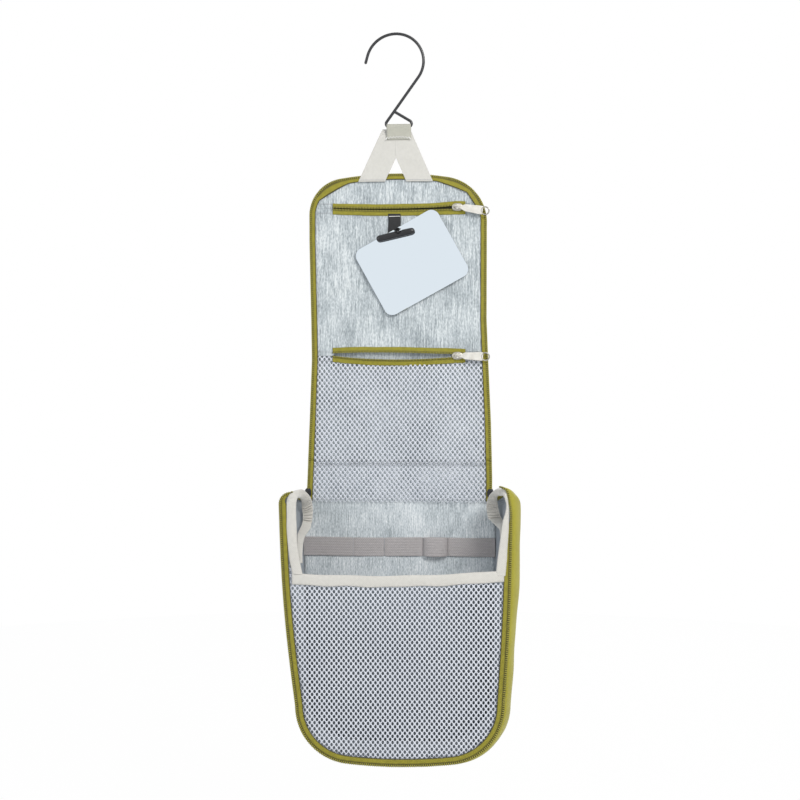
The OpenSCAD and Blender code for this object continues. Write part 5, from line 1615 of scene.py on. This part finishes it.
def oval(half_w, half_h, power=2.4):
    """A superellipse (|x| / half_w)^power + (|z| / half_h)^power = 1, counterclockwise."""
    a = np.linspace(0, 2 * np.pi, 40, endpoint=False)
    unit = np.stack([np.cos(a), np.sin(a)], axis=1)
    return np.sign(unit) * np.abs(unit) ** (2 / power) * [half_w, half_h]


def pull_parts(tip, half_w, ring_r, wire):
    """A pull along +X from its pin at the origin: a tapered tab, widest at its end, and a ring round tip."""
    s = np.array([-1.5, -0.9, 0.6, 2.6, 3.8, 5.0, 8.0, 12.4, 14.8, 15.2]) * (tip - ring_r * 0.6) / 15.2
    w = np.array([0.25, 0.36, 0.38, 0.42, 0.72, 0.84, 0.88, 1.0, 1.0, 0.88]) * half_w
    loop = np.concatenate([np.stack([s, -w], axis=1), np.stack([s, w], axis=1)[::-1]])
    loop = resample(np.concatenate([loop, loop[:1]]), count=61)[:-1]
    tab = slab_parts(loop, [(0.8, -0.5), (0.3, -0.44), (0.0, -0.2), (0.0, 0.2), (0.3, 0.44), (0.8, 0.5)])
    a = np.linspace(0, 2 * np.pi, 36, endpoint=False)
    circle = np.stack([tip + ring_r * np.cos(a), 0 * a, ring_r * np.sin(a)], axis=1)
    return tab, tube_parts(circle, wire, 12, closed=True)


def moved(parts, angle, at):
    """Parts turned in X and Z by an angle about the origin, then moved to a point."""
    points, faces, corner_uv = parts
    flat = turned(points[:, [0, 2]], angle, [at[0], at[2]])
    return np.stack([flat[:, 0], points[:, 1] + at[1], flat[:, 1]], axis=1), faces, corner_uv


def pocket_slider():
    """A pocket zip's slider about its middle: a domed front plate, a back plate, the post between them and
    the bridge that holds the pull."""
    dome = [(2.4, -1.25), (1.3, -1.15), (0.5, -0.8), (0.1, -0.35), (0, 0.1), (0.25, 0.4)]
    front = slab_parts(oval(5.1, 3.5), dome)
    back = slab_parts(oval(4.8, 3.2), [(0.2, 2.6), (0, 2.75), (0, 3.1), (0.3, 3.25)])
    post = tube_parts(np.array([[3.4, y, 0] for y in (-0.4, 1.0, 2.8)]), 0.55, 10, normal=(0, 0, 1))
    arch = [
        (-3.3, -0.9, 0), (-2.7, -2.9, 0), (-1.1, -3.75, 0), (0.9, -3.75, 0), (2.5, -2.9, 0), (3.1, -0.9, 0),
    ]
    bridge = tube_parts(through(arch, 26), 0.62, 10, normal=(0, 0, 1))
    return joined([front, back, post, bridge])


for which, height, droop in (("upper", UPPER_ZIP, 9), ("lower", LOWER_ZIP, 2)):
    at = np.array([SLIDER_X, 0, height])
    body = write_mesh(f"{which}_slider_body", *moved(pocket_slider(), 0.0, at), SLIDER, f"{which}_slider")
    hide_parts(f"{which}_zip_slider")
    eye = tube_parts(np.array([[0, 0, -1.5], [0, 0, 0], [0, 0, 1.5]]), 0.9, 12)
    parts = [*pull_parts(24.6, 3.8, 3.4, 0.6), eye]
    tab, ring, eye = (moved(part, -math.radians(droop), at + [0, PIN_Y, 0]) for part in parts)
    handle = write_mesh(f"{which}_pull_tab", *joined([tab, eye]), CREAM, f"{which}_pull")
    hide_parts(f"{which}_zip_pull")
    wire = write_mesh(f"{which}_pull_ring", *ring, NICKEL, f"{which}_pull")


def main_slider(side, half_w, half_h, front_y):
    """A main zip's slider about its middle: two plates, the web that joins them on one side, and the loop
    behind that holds the pull."""
    plates = []
    for y, way in ((front_y + 0.75, -1), (6.15, 1)):
        steps = ((1.6, 0.4), (0.6, 0.3), (0, 0), (0, -0.35), (0.4, -0.5))
        rings = [(inset, y + way * depth) for inset, depth in steps]
        plates.append(slab_parts(oval(half_w - 0.35, half_h - 0.7, 3.2), rings if way < 0 else rings[::-1]))
    web_line = np.array([[side * (half_w - 0.9), y, 0] for y in (front_y + 0.9, 3.0, 6.0)])
    web = tube_parts(web_line, 0.75, 12, normal=(0, 0, 1))
    arch = [(0, 6.2, 2.6), (0, 8.4, 2.2), (0, 9.6, 0.8), (0, 9.6, -0.8), (0, 8.4, -2.2), (0, 6.2, -2.6)]
    loop = tube_parts(through(arch, 26), 0.6, 10, normal=(1, 0, 0))
    return joined([*plates, web, loop])


for side, word in SIDE_WORD.items():
    low, high = (np.array(corner) * 1000 - [BAG_X, 0, 0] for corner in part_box(f"{word}_main_slider"))
    middle = (low + high) / 2
    slider = main_slider(side, (high[0] - low[0]) / 2, (high[2] - low[2]) / 2, low[1])
    slider = moved(slider, 0.0, [middle[0], 0, middle[2]])
    body = write_mesh(f"{word}_main_slider_body", *slider, DARK_METAL)
    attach(body, "lid_top")
    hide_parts(f"{word}_main_slider")
    pin = np.array([middle[0], BACK_Y + 3, middle[2]])
    eye = tube_parts(np.array([[0, 0, -1.2], [0, 0, 0], [0, 0, 1.2]]), 0.9, 12)
    pull = joined([*pull_parts(20.75, 3.0, 2.6, 0.62), eye])
    handle = write_mesh(f"{word}_main_ring_pull", *moved(pull, -math.pi / 2, pin), DARK_METAL, f"{word}_pull")
    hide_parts(f"{word}_main_pull")

# ---------------------------------------------------------------- camera, light and floor


def aim(thing, place, target):
    """Turns an object so that its -Z looks from a place at a target, in metres."""
    back = np.array(place, float) - np.array(target, float)
    back /= np.linalg.norm(back)
    right = np.cross([0, 0, 1.0], back)
    right /= np.linalg.norm(right)
    up = np.cross(back, right)
    thing.matrix_world = Matrix([*zip(right, up, back, place), (0, 0, 0, 1)])


TARGET = (0.00353, 0.0, -0.3233)
DISTANCE = 1.193
AZIMUTH = math.radians(3.3)
camera_data = bpy.data.cameras.new("camera")
camera_data.lens = 60.57
camera_data.sensor_width = 36
camera_data.clip_start = 0.05
camera = bpy.data.objects.new("camera", camera_data)
bpy.context.scene.collection.objects.link(camera)
stand = (TARGET[0] + DISTANCE * math.sin(AZIMUTH), TARGET[1] - DISTANCE * math.cos(AZIMUTH), TARGET[2])
aim(camera, stand, TARGET)
bpy.context.scene.camera = camera


def softbox(name, place, target, width, height, power, colour=(1, 1, 1)):
    """A rectangular area light."""
    data = bpy.data.lights.new(name, "AREA")
    data.shape = "RECTANGLE"
    data.size = width
    data.size_y = height
    data.energy = power
    data.color = colour
    lamp = bpy.data.objects.new(name, data)
    bpy.context.scene.collection.objects.link(lamp)
    aim(lamp, place, target)


softbox("key_light", (0.75, -1.15, 0.55), (0, 0, -0.3), 0.55, 0.55, 15.0, (1, 0.985, 0.96))
softbox("fill_light", (-1.3, -1.0, -0.1), (0, 0, -0.35), 1.4, 1.4, 6.0, (0.94, 0.97, 1))
softbox("back_light", (0.3, 1.3, 0.4), (0, 0, -0.3), 1.2, 1.2, 8.0)


def seen_directly(tree):
    """1 for rays that reach a surface straight from the camera, by gloss or through a clear body, else 0."""
    path = add(tree, "LightPath")
    kinds = ("Camera", "Glossy", "Transmission")
    camera_ray, glossy, through_body = (path.outputs[f"Is {kind} Ray"] for kind in kinds)
    seen = add(tree, "Math", {0: camera_ray, 1: glossy}, operation="MAXIMUM").outputs[0]
    return add(tree, "Math", {0: seen, 1: through_body}, operation="MAXIMUM").outputs[0]


world = bpy.data.worlds.new("studio")
bpy.context.scene.world = world
world.use_nodes = True
tree = world.node_tree
tree.nodes.clear()
soft_light = add(tree, "Background", {"Color": (0.93, 0.96, 1.0, 1.0), "Strength": 0.55})
white = add(tree, "Background", {"Color": (1.0, 1.0, 1.0, 1.0), "Strength": 1.0})
mixed = add(tree, "MixShader", {0: seen_directly(tree), 1: soft_light.outputs[0], 2: white.outputs[0]})
add(tree, "OutputWorld", {"Surface": mixed.outputs[0]})

# Matt white studio floor, which the camera sees as plain white
FLOOR = bpy.data.materials.new("matt_white_floor")
FLOOR.use_nodes = True
tree = FLOOR.node_tree
tree.nodes.clear()
matt = add(tree, "BsdfPrincipled", {"Base Color": rgb("f2f2f0"), "Roughness": 0.9})
plain_white = add(tree, "Emission", {"Color": (1.0, 1.0, 1.0, 1.0), "Strength": 1.0})
share = add(tree, "Math", {0: seen_directly(tree), 1: 0.975}, operation="MULTIPLY").outputs[0]
both = add(tree, "MixShader", {0: share, 1: matt.outputs[0], 2: plain_white.outputs[0]})
add(tree, "OutputMaterial", {"Surface": both.outputs[0]})
FLOOR_Z = -760.0
FLOOR_R = 1600.0
k = np.arange(64)
disc = arc_points((0, 0), FLOOR_R, 0, 354.375, 64)
rim = np.column_stack([disc, np.full(64, FLOOR_Z)])
floor_points = np.concatenate([[[0, 0, FLOOR_Z]], rim])
wedges = np.stack([0 * k, 1 + k, 1 + (k + 1) % 64], axis=1)
floor = write_mesh("studio_floor", floor_points, [wedges], None, FLOOR, offset=(0, 0, 0))
bpy.context.scene.view_settings.view_transform = "Standard"
